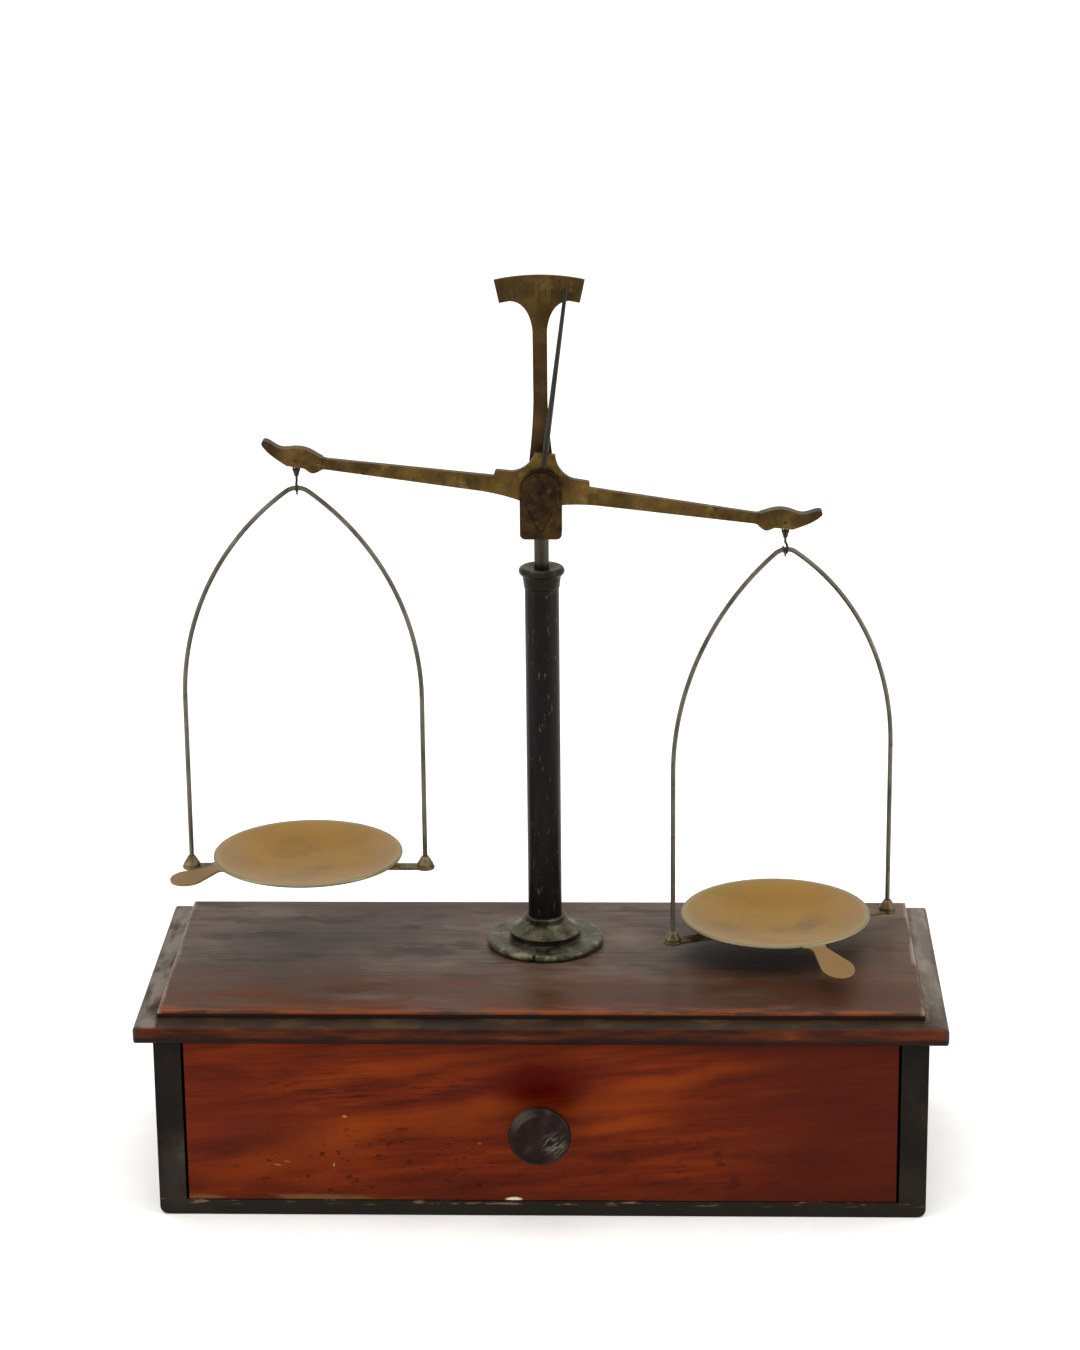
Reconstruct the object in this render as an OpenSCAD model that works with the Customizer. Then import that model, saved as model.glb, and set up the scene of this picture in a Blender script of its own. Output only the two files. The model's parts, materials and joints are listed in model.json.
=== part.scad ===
// Equal-arm column balance on a drawer box, in millimetres.
// Z is up, the drawer faces -Y, and the origin is the middle of the underside of the case.
// The beam is drawn tilted, right pan low, with the lift raised and the drawer shut.

/* [Case] */
// Width of the case
case_w = 320; // [260:1:400]
// Depth of the case, front to back
case_d = 130; // [115:1:180]
// Height of the case below the top board
case_h = 78.8; // [62:0.1:110]
// Thickness of the two side panels
side_t = 11.2; // [9:0.1:18]
// Thickness of the bottom board
bottom_t = 6.5; // [5:0.5:12]
// Thickness of the back panel
back_t = 7; // [5:0.5:12]
// Rounding of the worn lower edges of the case
case_round = 3.5; // [0.5:0.1:4]

/* [Top board] */
// Full thickness of the top board
board_t = 12.2; // [11.5:0.1:22]
// How far the top board stands out past the case at the front and the back
board_over = 5; // [2:0.5:12]
// How far the top board stands out past the case at its two ends
board_over_end = 7.8; // [2:0.1:14]
// Width of the sloping ledge in front of and behind the raised field
ledge_w = 7; // [4:0.5:12]
// Width of the sloping ledge at the two ends of the raised field
ledge_end_w = 9.8; // [5:0.1:14]
// Height of the step from the ledge up to the raised field
step_h = 2.9; // [1.5:0.1:4]
// Slope of the ledge at the front and the back, in degrees
ledge_slope = 17; // [5:1:20]
// Radius of the nose of the moulding
nose_r = 2.2; // [0.8:0.1:2.5]
// Radius of the four corners of the board seen from above
board_corner_r = 2.5; // [1:0.1:6]

/* [Drawer] */
// Gap at each end of the drawer front
drawer_gap = 1.2; // [0.3:0.1:1.5]
// Gap under the drawer
drawer_gap_low = 0.3; // [0.2:0.05:0.6]
// Gap over the drawer front
drawer_gap_top = 1.2; // [0.4:0.1:2]
// How far the drawer front sits back from the face of the case
drawer_inset = 0.5; // [0:0.1:2]
// Thickness of the drawer front
front_t = 10; // [8:0.5:14]
// Thickness of the drawer sides and back
wall_t = 6; // [4.5:0.5:8]
// Height of the drawer sides
wall_h = 58; // [40:1:60]
// Thickness of the drawer bottom
floor_t = 3.5; // [2.5:0.5:5]
// Height of the drawer bottom above the lower edge of the sides
floor_up = 3; // [2:0.5:8]
// Depth of the groove that holds the drawer bottom
groove_d = 3; // [1.5:0.5:4]
// Gap between the shut drawer and the stop blocks behind it
stop_gap = 0.3; // [0.2:0.1:1]
// Depth of the two stop blocks
stop_d = 4; // [3:0.5:8]

/* [Knob] */
// Diameter of the drawer knob
knob_d = 26; // [20:0.5:34]
// Length of the knob in front of the drawer
knob_len = 16; // [13:0.5:24]
// Diameter of the neck of the knob
knob_neck_d = 12; // [8:0.5:14]
// Diameter of the screw that holds the knob
knob_screw_d = 3.6; // [3:0.1:5]

/* [Column] */
// Distance of the column behind the middle of the case
column_y = 14.4; // [0:0.1:25]
// Outer diameter of the column tube
tube_d = 14.4; // [13.5:0.1:18]
// Bore of the column tube
tube_bore = 10; // [8.5:0.1:10.5]
// Diameter of the threaded tail of the tube under the flange
tail_d = 12; // [11.4:0.1:13]
// Diameter of the flange disc
disc_d = 50; // [42:0.5:64]
// Thickness of the flange disc
disc_t = 3.5; // [2.5:0.1:5]
// Diameter of the lip of the bell that stands on the disc
bell_d = 31.2; // [27:0.1:38]
// Height of the bell
bell_h = 10; // [9:0.1:14]
// Diameter of the ring at the top of the bell
collar_d = 17.8; // [17.2:0.1:20]
// Height of the column from the board to the rim of its capital
column_h = 168.6; // [140:0.1:220]
// Diameter of the rim of the capital
capital_d = 19.3; // [17:0.1:24]
// Height of the capital above the tube
capital_h = 11; // [10.5:0.1:18]

/* [Lift] */
// Diameter of the lift rod
rod_d = 6.2; // [5:0.1:7]
// Length of rod that shows between the capital and the fork
rod_show = 14; // [8:0.1:20]
// Length of rod inside the column
rod_hidden = 96; // [70:1:110]
// Running clearance of the rod in its guides, at the radius
rod_fit = 0.06; // [0.03:0.01:0.1]

/* [Fork] */
// Width of the fork
fork_w = 17.4; // [15:0.1:22]
// Thickness of each cheek of the fork
cheek_t = 2.6; // [2:0.1:4]
// Gap between the cheeks
fork_gap = 5.6; // [5:0.1:7]
// Height of the central knife edge above the bottom of the fork
pivot_up = 20.7; // [19:0.1:26]
// Diameter of the round caps over the bearings
cap_d = 15.8; // [13:0.1:16.8]
// Thickness of the bearing caps
cap_t = 1.6; // [1:0.1:2.5]
// Diameter of the bearing plugs
bearing_d = 7; // [6:0.1:8]

/* [Beam] */
// Distance from the central knife edge to each end knife edge
arm = 102.3; // [85:0.1:125]
// Tilt of the beam as it stands, right end down, in degrees
tilt = 7.5; // [2:0.1:8]
// Thickness of the beam
beam_t = 3.2; // [2.5:0.1:4]
// Thickness of the forked beam ends
end_t = 5.4; // [4.6:0.1:7]
// Width of the slot in each beam end
slot_w = 3; // [2.4:0.1:3.4]
// Length of the pointer from the central knife edge to its tip
pointer_len = 86.6; // [80:0.1:87]

/* [Scale plate] */
// Outer radius of the scale plate about the central knife edge
scale_r = 88.4; // [84:0.1:100]
// Height of the band that carries the marks
scale_band = 9.9; // [6:0.1:12]
// Angle from the middle of the scale to each end
scale_half = 12.2; // [8:0.1:14]
// Thickness of the scale plate
scale_t = 1.6; // [1:0.1:2]
// Width of the stem of the plate
stem_w = 5.7; // [4:0.1:7]
// Number of marks to each side of the middle mark
marks_side = 6; // [3:1:8]

/* [Hangers] */
// Height from the end knife edge down to the top of the bail
hook_drop = 13.1; // [12:0.1:16]
// Diameter of the bail wire
wire_d = 2; // [1.5:0.1:2.2]
// Distance between the two legs of a bail
bail_w = 100.4; // [96:0.2:116]
// Gap between the board and the cross bar of the lower pan
bar_clear = 7.35; // [6.6:0.05:20]
// Radius of the two long arcs of the bail
arch_r = 112.5; // [95:0.5:150]
// Radius of the bend at the top of the bail
apex_r = 8; // [6:0.1:12]
// Turn of the left hanger about the vertical, in degrees
turn_left = 0; // [-30:1:30]
// Turn of the right hanger about the vertical, in degrees
turn_right = 22; // [-30:1:30]
// Width of the cross bar under the pan
bar_w = 6; // [5:0.1:8]
// Thickness of the cross bar
bar_t = 1.2; // [0.8:0.1:2]
// Height of the cone where the wire meets the cross bar
foot_h = 4.3; // [4:0.1:8]
// Diameter of that cone at its base
foot_d = 7; // [5.5:0.1:8]

/* [Pans] */
// Diameter of a pan
pan_d = 81; // [70:0.5:86]
// Depth of a pan, outside, from its rim
pan_depth = 6; // [4.8:0.1:9]
// Thickness of the pan sheet
pan_t = 0.9; // [0.6:0.1:1.2]
// Gap between a pan and the bar it rests on
pan_seat = 0.25; // [0.15:0.05:0.3]
// How far the right pan lies off the middle of its cross bar
pan_off_right = -2.7; // [-4:0.1:4]
// Distance from the middle of a pan to the end of its thumb tab
tab_reach = 63.3; // [56:0.1:66]
// Width of a thumb tab at its round end
tab_w = 15; // [11:0.1:18]
// Width of a thumb tab where it leaves the rim
tab_neck = 6.8; // [5.5:0.1:10]
// Slant of a thumb tab across its radius, in degrees
tab_skew = 11; // [-15:1:15]
// Direction of the left tab seen from above, in degrees
tab_turn_left = 206; // [200:1:250]
// Direction of the right tab seen from above, in degrees
tab_turn_right = 293; // [280:1:320]
// How far the left tab is bent down over its length
droop_left = 2; // [0:0.1:6]
// How far the right tab is bent down over its length
droop_right = 7.5; // [0:0.1:8]

/* [Hidden] */
$fn = 96;

// Clearance of a fixed piece in the hole or slot that holds it, at each side
fit = 0.05;
// Number of straight pieces in each curve of the beam outline
curve_steps = 10;

// Case and board levels
board_z = case_h + board_t;
board_hw = case_w / 2 + board_over_end;
board_hd = case_d / 2 + board_over;
field_hw = board_hw - ledge_end_w;
field_hd = board_hd - ledge_w;
ledge_fall = ledge_w * tan(ledge_slope);
field_r = 0.8;
front_y = -case_d / 2;
back_y = case_d / 2 - back_t;

// Drawer levels and walls
bay_hw = case_w / 2 - side_t;
front_hw = bay_hw - drawer_gap;
drawer_z = bottom_t + drawer_gap_low;
front_z = case_h - drawer_gap_top;
front_y0 = front_y + drawer_inset;
front_y1 = front_y0 + front_t;
lap_y = front_y1 - wall_t;
inner_hw = front_hw - wall_t;
rear_y = back_y - stop_d - stop_gap;
wall_z = drawer_z + wall_h;
floor_z = drawer_z + floor_up;
knob_z = (drawer_z + front_z) / 2;
nail_d = 1.4;
nail_head_d = 2.8;
nail_head_t = 0.5;

// Column levels
disc_z = board_z + disc_t;
capital_z = board_z + column_h;
tube_z = capital_z - capital_h;
counterbore_d = 24;
counterbore_h = 6.6;
washer_d = 21;
washer_t = 1;
nut_af = 18;
nut_t = 4.2;
tail_end_z = case_h + 0.4;
web_z = case_h + counterbore_h;

// Lift and fork levels
rod_r = rod_d / 2;
seat_down = 1.1;
seat_z = capital_z - seat_down;
fork_z = seat_z + rod_show;
rod_socket = 6;
pivot_z = fork_z + pivot_up;
cheek_r = fork_w / 2;
fork_hd = fork_gap / 2 + cheek_t;
fork_floor = pivot_up - 11.2;
cap_spigot = 0.5;
cap_fit = 0.1;

// Knives
knife_half = 27;
center_knife_h = 2.9;
end_knife_h = 1.4;
knife_gap = 0.12;

// Pointer
pointer_root_r = 1.25;
pointer_tip_r = 0.8;
pointer_point = 4;
pointer_foot_z = 8;
pointer_cone_z = 16;
pointer_y = -0.8;

// Hanger levels, measured down from the end knife edge
loop_r = 1.6;
loop_wire_r = 0.4;
loop_taper = 6;
loop_z = knife_gap + loop_wire_r - loop_r;
socket_z = -5;
socket_r = 1.65;
socket_ring = 0.6;
socket_cone = 2.4;
shank_r = 0.5;
shank_fit = 0.06;
head_r = 0.66;
head_t = 0.6;
crook_r = 2.3;
crook_z = -hook_drop - wire_d / 2 - knife_gap - shank_r + crook_r;
bail_hw = bail_w / 2;
bail_drop = hang_z(1) - hook_drop - bar_t - bar_clear - board_z;
arch_rise = sqrt(pow(arch_r - apex_r, 2) - pow(arch_r - bail_hw, 2));
arch_z = -apex_r - arch_rise;
arch_angle = acos((arch_r - bail_hw) / (arch_r - apex_r));
pad_r = foot_d / 2 + 0.5;

// Pans
pan_r = pan_d / 2;
dish_r = (pan_r * pan_r + pan_depth * pan_depth) / (2 * pan_depth);

// Where the two hangers hang, as the beam stands
function hang_x(side) = side * arm * cos(tilt);
function hang_z(side) = pivot_z - side * arm * sin(tilt);

// Point at share t along a cubic curve
function cubic(a, b, c, d, t) =
    pow(1 - t, 3) * a + 3 * pow(1 - t, 2) * t * b + 3 * (1 - t) * t * t * c + t * t * t * d;

// Points of a cubic curve, without its first one
function curve(a, b, c, d) = [for (i = [1:curve_steps]) cubic(a, b, c, d, i / curve_steps)];

// Points along an arc about c, from angle a0 to a1, the ends included
function arc(c, r, a0, a1, n) = [for (i = [0:n]) c + r * [cos(a0 + (a1 - a0) * i / n),
    sin(a0 + (a1 - a0) * i / n)]];

// Outline closed by its mirror image on the other side of the second axis
function both_sides(half) =
    concat(half, [for (i = [len(half) - 1:-1:0]) [-half[i][0], half[i][1]]]);

// Places things in the frame of the central knife edge, upright
module at_pivot() {
    translate([0, column_y, pivot_z]) children();
}

// Places things in the frame of the tilted beam
module at_beam() {
    at_pivot() rotate([0, tilt, 0]) children();
}

// Places things under an end knife edge, plumb, turned about the vertical
module at_hanger(side, turn) {
    translate([hang_x(side), column_y, hang_z(side)]) rotate([0, 0, turn]) children();
}

// Places things at the column foot
module at_column() {
    translate([0, column_y, 0]) children();
}

// Lays an outline drawn in X and Z out along Y, thickness t, centred
module plate_xz(t) {
    rotate([90, 0, 0]) translate([0, 0, -t / 2]) linear_extrude(height = t) children();
}

// Cylinder along Z between two heights
module post(r, z0, z1, $fn = $fn) {
    translate([0, 0, z0]) cylinder(r = r, h = z1 - z0);
}

// Cylinder along Y, from y0 towards +Y
module peg_y(r, y0, len) {
    translate([0, y0, 0]) rotate([-90, 0, 0]) cylinder(r = r, h = len);
}

// Rectangle with round corners, centred
module round_rect(w, h, r) {
    square([w - 2 * r, h], center = true);
    square([w, h - 2 * r], center = true);
    for (x = [-1, 1], y = [-1, 1]) translate([x * (w / 2 - r), y * (h / 2 - r)]) circle(r = r);
}

// Box between two corners
module block(p, q) {
    translate(p) cube(q - p);
}

// Cross-section of the moulded board: nose, sloping ledge, step and raised field
module board_section(hw, field_half) {
    slope = atan(ledge_fall / (hw - field_half));
    nose_x = hw - nose_r;
    ledge_x = nose_x + nose_r * sin(slope);
    foot_z = board_t - step_h;
    nose_top = foot_z - (ledge_x - field_half) * tan(slope);
    nose_z = nose_top - nose_r * cos(slope);
    polygon(both_sides(concat(
        arc([nose_x, nose_r], nose_r, -90, 0, 6),
        arc([nose_x, nose_z], nose_r, 0, 90 - slope, 6),
        [[field_half, foot_z]],
        arc([field_half - field_r, board_t - field_r], field_r, 0, 90, 4)
    )));
}

// Seen from above, the board with its corners taken off in four short facets
module board_plan() {
    r = board_corner_r;
    c = [board_hw - r, board_hd - r];
    out = r / cos(11.25);
    quarter = concat([[board_hw + r, c[1] - r / tan(22.5)]],
        [for (a = [33.75, 56.25]) c + out * [cos(a), sin(a)]],
        [[c[0] - r / tan(22.5), board_hd + r]]);
    half = concat([for (i = [3:-1:0]) [quarter[i][0], -quarter[i][1]]], quarter);
    polygon(both_sides(half));
}

module top_board() {
    color("#5f4c44") difference() {
        translate([0, 0, case_h]) intersection() {
            rotate([90, 0, 0]) linear_extrude(height = 3 * board_hd, center = true)
                board_section(board_hw, field_hw);
            rotate([90, 0, 90]) linear_extrude(height = 3 * board_hw, center = true)
                board_section(board_hd, field_hd);
            translate([0, 0, -1]) linear_extrude(height = board_t + 2) board_plan();
        }
        at_column() post(tail_d / 2 + fit, case_h - 1, board_z + 1);
        at_column() post(counterbore_d / 2, case_h - 1, web_z);
    }
}

module bottom_board() {
    color("#20201e") difference() {
        rotate([90, 0, 0]) linear_extrude(height = case_d, center = true)
            polygon(both_sides(concat(
                arc([case_w / 2 - case_round, case_round], case_round, -90, 0, 8),
                [[case_w / 2, bottom_t]]
            )));
        case_nail_places() post(nail_d / 2 + fit, -1, bottom_t + 1);
        case_nail_places() post(nail_head_d / 2 + fit, -1, nail_head_t + fit);
    }
}

// Three nails up into each side panel and two into the back panel
module case_nail_places() {
    for (s = [-1, 1], y = [-0.36, 0, 0.36])
        translate([s * (case_w / 2 - side_t / 2), y * case_d, 0]) children();
    for (s = [-1, 1]) translate([s * bay_hw / 2, case_d / 2 - back_t / 2, 0]) children();
}

module case_nails() {
    color("#4c4a46") case_nail_places() {
        post(nail_head_d / 2, 0.05, nail_head_t);
        post(nail_d / 2, 0.05, bottom_t + 12);
    }
}

module side_panel(side) {
    color("#222220") difference() {
        block([min(side * case_w / 2, side * bay_hw), front_y, bottom_t],
            [max(side * case_w / 2, side * bay_hw), case_d / 2, case_h]);
        case_nail_places() post(nail_d / 2 + fit, bottom_t - 1, bottom_t + 12.3);
    }
}

module side_panel_left() {
    side_panel(-1);
}

module side_panel_right() {
    side_panel(1);
}

module back_panel() {
    color("#3a2a20") difference() {
        block([-bay_hw, back_y, bottom_t], [bay_hw, case_d / 2, case_h]);
        case_nail_places() post(nail_d / 2 + fit, bottom_t - 1, bottom_t + 12.3);
    }
}

module stop_blocks() {
    color("#6b4a2e") for (s = [-1, 1])
        translate([s * bay_hw * 0.72 - 12, back_y - stop_d, bottom_t]) cube([24, stop_d, 14]);
}

// The groove for the drawer bottom, as a slab that is cut from the front and the sides
module floor_groove() {
    block([-inner_hw - groove_d - fit, front_y1 - groove_d - fit, floor_z - fit],
        [inner_hw + groove_d + fit, rear_y + 1, floor_z + floor_t + fit]);
}

module drawer_front() {
    color("#7a3018") difference() {
        block([-front_hw, front_y0, drawer_z], [front_hw, front_y1, front_z]);
        for (s = [-1, 1]) block([min(s * inner_hw, s * (front_hw + 1)), lap_y, drawer_z - 1],
            [max(s * inner_hw, s * (front_hw + 1)), front_y1 + 1, wall_z]);
        floor_groove();
        translate([0, 0, knob_z]) peg_y(knob_screw_d / 2 + fit, front_y0 - 1, front_t + 2);
        drawer_nail_places() rotate([0, 90, 0]) post(nail_d / 2 + fit, -1, wall_t + 6.3);
    }
}

module drawer_side(side) {
    color("#8a6440") difference() {
        block([min(side * inner_hw, side * front_hw), lap_y, drawer_z],
            [max(side * inner_hw, side * front_hw), rear_y, wall_z]);
        floor_groove();
        drawer_nail_places() rotate([0, 90, 0]) post(nail_d / 2 + fit, -1, wall_t + 6.3);
    }
}

module drawer_side_left() {
    drawer_side(-1);
}

module drawer_side_right() {
    drawer_side(1);
}

module drawer_back() {
    color("#8a6440") difference() {
        block([-inner_hw, rear_y - wall_t, floor_z + floor_t + fit], [inner_hw, rear_y, wall_z]);
        drawer_nail_places() rotate([0, 90, 0]) post(nail_d / 2 + fit, -1, wall_t + 6.3);
    }
}

module drawer_bottom() {
    color("#94704a")
        block([-inner_hw - groove_d, front_y1 - groove_d, floor_z],
            [inner_hw + groove_d, rear_y, floor_z + floor_t]);
}

// Nails through the drawer sides, two into the front and two into the back at each end
module drawer_nail_places() {
    for (s = [-1, 1], z = [0.35, 0.8], y = [lap_y + wall_t / 2 - 1, rear_y - wall_t / 2])
        translate([s * front_hw, y, drawer_z + z * wall_h])
            mirror([s > 0 ? 1 : 0, 0, 0]) children();
}

module drawer_nails() {
    color("#4c4a46") drawer_nail_places() rotate([0, 90, 0]) post(nail_d / 2, 0.05, wall_t + 6);
}

// Outline of the knob about its own axis: neck, hollow back, round rim and dished face
module knob_section() {
    rim_r = 2.2;
    neck = knob_neck_d / 2;
    rim = knob_d / 2 - rim_r;
    rim_z = knob_len - rim_r;
    dish = 1.5;
    dish_r = (rim * rim + dish * dish) / (2 * dish);
    difference() {
        polygon(concat(
            [[0, 0], [neck + 1.2, 0], [neck + 1.2, 1.6], [neck, 2.4], [neck, rim_z - 4.4]],
            arc([rim, rim_z], rim_r, -60, 90, 12),
            arc([0, knob_len - dish + dish_r], dish_r, asin(rim / dish_r) - 90, -90, 8)
        ));
        translate([-1, -1]) square([1, knob_len + 2]);
    }
}

module drawer_knob() {
    color("#2a2420") translate([0, front_y0, knob_z]) rotate([90, 0, 0]) difference() {
        rotate_extrude() knob_section();
        post(knob_screw_d / 2 + fit, -1, knob_len - 6);
    }
}

module knob_screw() {
    color("#6e6a60") translate([0, 0, knob_z]) difference() {
        union() {
            peg_y(knob_screw_d / 2, front_y0 - knob_len + 6.5, knob_len - 6.5 + front_t);
            peg_y(knob_screw_d * 0.95, front_y1, 1.8);
        }
        block([-0.5, front_y1 + 1, -knob_screw_d], [0.5, front_y1 + 3, knob_screw_d]);
    }
}

module flange_disc() {
    edge = disc_t / 2 - 0.2;
    slot_in = bell_d / 2 - 0.4;
    color("#5c5844") at_column() difference() {
        rotate_extrude() {
            translate([0, board_z]) square([disc_d / 2 - edge, disc_t]);
            translate([0, board_z + disc_t / 2 - 0.2]) square([disc_d / 2, 0.4]);
            for (s = [-1, 1]) translate([disc_d / 2 - edge, board_z + disc_t / 2 + s * 0.2])
                circle(r = edge);
        }
        post(tail_d / 2 + fit, board_z - 1, disc_z + 1);
        block([-3.4, -slot_in - 5.4, board_z - 1], [2.4, -slot_in, disc_z + 1]);
        block([-4.9, -disc_d / 2 - 1, board_z - 1], [-3.4, -disc_d / 2 + 1.6, disc_z + 1]);
    }
}

// Outline of the bell: upright foot, lip, flank, shoulder, groove and ring
module bell_section() {
    lip = bell_d / 2;
    lip_z = 2.5;
    ring = collar_d / 2;
    ring_t = 1.4;
    shoulder = ring + 1.3;
    shoulder_z = bell_h - 3.4;
    groove = ring - 0.7;
    polygon(concat(
        [[tube_d / 2 + fit, 0], [lip - 0.5, 0], [lip - 0.5, lip_z - 0.4]],
        arc([lip - 0.6, lip_z + 0.2], 0.6, -80, 70, 6),
        curve([lip - 0.4, lip_z + 0.8], [lip - 2.4, lip_z + 1.3], [shoulder + 1.2, shoulder_z - 1],
            [shoulder, shoulder_z]),
        [[shoulder - 0.3, shoulder_z + 0.7], [groove, shoulder_z + 1.3], [groove, bell_h - ring_t]],
        arc([ring - ring_t / 2, bell_h - ring_t / 2], ring_t / 2, -75, 90, 6),
        [[tube_d / 2 + fit, bell_h]]
    ));
}

module flange_bell() {
    color("#5c5844") at_column() translate([0, 0, disc_z]) rotate_extrude() bell_section();
}

module column_tube() {
    color("#211f1c") at_column() rotate_extrude() {
        translate([tube_bore / 2, tail_end_z])
            square([tail_d / 2 - tube_bore / 2, disc_z - tail_end_z]);
        translate([tube_bore / 2, disc_z])
            square([tube_d / 2 - tube_bore / 2, tube_z - disc_z]);
    }
}

// Outline of the capital above its seat on the tube: spigot, collar, flared neck and thick rim
module capital_section() {
    rim_r = 1.9;
    rim = capital_d / 2 - rim_r;
    rim_z = capital_h - rim_r;
    bore = rod_r + rod_fit;
    spigot = tube_bore / 2 - fit;
    foot = tube_d / 2;
    neck = foot + 0.9;
    polygon(concat(
        [[bore, -8], [spigot, -8], [spigot, 0], [foot, 0], [foot, 1.9], [foot + 0.35, 2.3]],
        curve([foot + 0.35, 2.3], [foot + 0.4, 4], [neck - 0.1, 5.2], [neck, capital_h - 2 * rim_r]),
        arc([rim, rim_z], rim_r, -50, 90, 10),
        [[bore, capital_h - seat_down]]
    ));
}

module capital() {
    color("#6a6650") at_column() translate([0, 0, tube_z]) rotate_extrude() capital_section();
}

module rod_guide() {
    guide_z = tube_z - 62;
    color("#8a7440") at_column() difference() {
        post(tube_bore / 2 - fit, guide_z, guide_z + 8);
        post(rod_r + rod_fit, guide_z - 1, guide_z + 9);
    }
}

module column_washer() {
    color("#6e6a60") at_column() difference() {
        post(washer_d / 2, web_z - washer_t, web_z);
        post(tail_d / 2 + fit, web_z - 2 * washer_t, web_z + 1);
    }
}

module column_nut() {
    top = web_z - washer_t;
    color("#8a7440") at_column() difference() {
        translate([0, 0, top - nut_t]) cylinder(r = nut_af / 2 / cos(30), h = nut_t, $fn = 6);
        post(tail_d / 2 + fit, top - nut_t - 1, top + 1);
    }
}

module lift_rod() {
    color("#5a5848") at_column() {
        post(rod_r, seat_z - rod_hidden, fork_z + rod_socket);
    }
}

// Outline of a cheek: square foot with round corners, round head about the pivot
module cheek_outline() {
    foot_r = 2.2;
    circle(r = cheek_r);
    translate([-cheek_r, foot_r - pivot_up]) square([fork_w, pivot_up - foot_r]);
    translate([foot_r - cheek_r, -pivot_up]) square([fork_w - 2 * foot_r, pivot_up]);
    for (s = [-1, 1]) translate([s * (cheek_r - foot_r), foot_r - pivot_up]) circle(r = foot_r);
}

module fork() {
    groove_t = 0.8;
    color("#3f2d1e") at_pivot() difference() {
        plate_xz(2 * fork_hd) cheek_outline();
        block([-fork_w, -fork_gap / 2, -fork_floor], [fork_w, fork_gap / 2, fork_w]);
        peg_y(bearing_d / 2 + fit, -fork_hd - 1, 2 * fork_hd + 2);
        post(rod_r + fit, -pivot_up - 1, rod_socket - pivot_up + fit);
        translate([0, groove_t / 2 - fork_hd - 0.5, 0]) plate_xz(groove_t + 1)
            polygon([[-5.6, -cap_d / 2 - 0.4], [5.6, -cap_d / 2 - 0.4], [0.9, 3.2 - pivot_up],
                [-0.9, 3.2 - pivot_up]]);
        scale_screw_places() peg_y(1 + fit, fork_hd - cheek_t - 0.01, cheek_t + 1);
    }
}

// Bearing plug with its V open upwards, the knife edge resting in the bottom
module bearing() {
    len = cheek_t - cap_spigot;
    difference() {
        plate_xz(len) circle(r = bearing_d / 2);
        plate_xz(len + 1) polygon([[0, -knife_gap], [bearing_d, bearing_d * tan(30) - knife_gap],
            [bearing_d, bearing_d], [-bearing_d, bearing_d],
            [-bearing_d, bearing_d * tan(30) - knife_gap]]);
    }
}

module bearing_front() {
    color("#77756c") at_pivot()
        translate([0, -fork_gap / 2 - (cheek_t - cap_spigot) / 2, 0]) bearing();
}

module bearing_rear() {
    color("#77756c") at_pivot()
        translate([0, fork_gap / 2 + (cheek_t - cap_spigot) / 2, 0]) bearing();
}

// Round cap with a dished middle and a short spigot, drawn facing +Z
module bearing_cap(reach) {
    edge = 0.5;
    cap_r = cap_d / 2;
    difference() {
        rotate_extrude() {
            square([cap_r - edge, cap_t]);
            square([cap_r, cap_t - edge]);
            translate([cap_r - edge, cap_t - edge]) circle(r = edge);
            translate([0, -reach]) square([bearing_d / 2 - cap_fit, reach + 0.5]);
        }
        post(1.3, cap_t - 0.6, cap_t + 1);
    }
}

module bearing_cap_front() {
    color("#2b1d18") at_pivot() translate([0, -fork_hd, 0]) rotate([90, 0, 0])
        bearing_cap(cap_spigot - cap_fit);
}

module bearing_cap_rear() {
    color("#2b1d18") at_pivot() translate([0, fork_hd + scale_t, 0]) rotate([-90, 0, 0])
        bearing_cap(cap_spigot + scale_t - cap_fit);
}

// Outline of the scale plate about the central knife edge: foot, stem, flare and band
module scale_outline() {
    inner_r = scale_r - scale_band;
    stem = stem_w / 2;
    flare = [stem + 9.3, sqrt(inner_r * inner_r - pow(stem + 9.3, 2))];
    flare_end = atan2(flare[1], flare[0]);
    foot_r = cap_d / 2 + 0.3;
    root_angle = acos((stem + 2.4) / foot_r);
    root = foot_r * [cos(root_angle), sin(root_angle)];
    polygon(both_sides(concat(
        [[foot_r, 3 - pivot_up]],
        arc([0, 0], foot_r, 0, root_angle, 12),
        curve(root, [stem + 1.9, 14], [stem + 0.5, 21], [stem + 0.1, 36]),
        curve([stem, flare[1] - 15], [stem + 0.2, flare[1] - 6], [stem + 3.6, flare[1] - 0.2],
            flare),
        arc([0, 0], inner_r, flare_end - 0.5, 90 - scale_half, 6),
        arc([0, 0], scale_r, 90 - scale_half, 90 - scale_half / 12, 12)
    )));
}

// Two screws that hold the foot of the scale plate to the rear cheek
module scale_screw_places() {
    for (s = [-1, 1]) translate([s * 5, 0, 5.6 - pivot_up]) children();
}

module scale_plate() {
    mark_w = 0.35;
    mark_d = 0.35;
    pitch = (scale_half - 1.4) / marks_side;
    color("#54431e") at_pivot() difference() {
        translate([0, fork_hd + scale_t / 2, 0]) plate_xz(scale_t) scale_outline();
        peg_y(bearing_d / 2 + fit, fork_hd - 1, scale_t + 2);
        scale_screw_places() peg_y(1 + fit, fork_hd - 1, scale_t + 2);
        for (i = [-marks_side:marks_side]) rotate([0, i * pitch, 0])
            translate([-mark_w / 2, fork_hd - 1, scale_r - scale_band + 0.9])
                cube([mark_w, 1 + mark_d, i % 3 == 0 ? 5.2 : 3.4]);
    }
}

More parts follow.
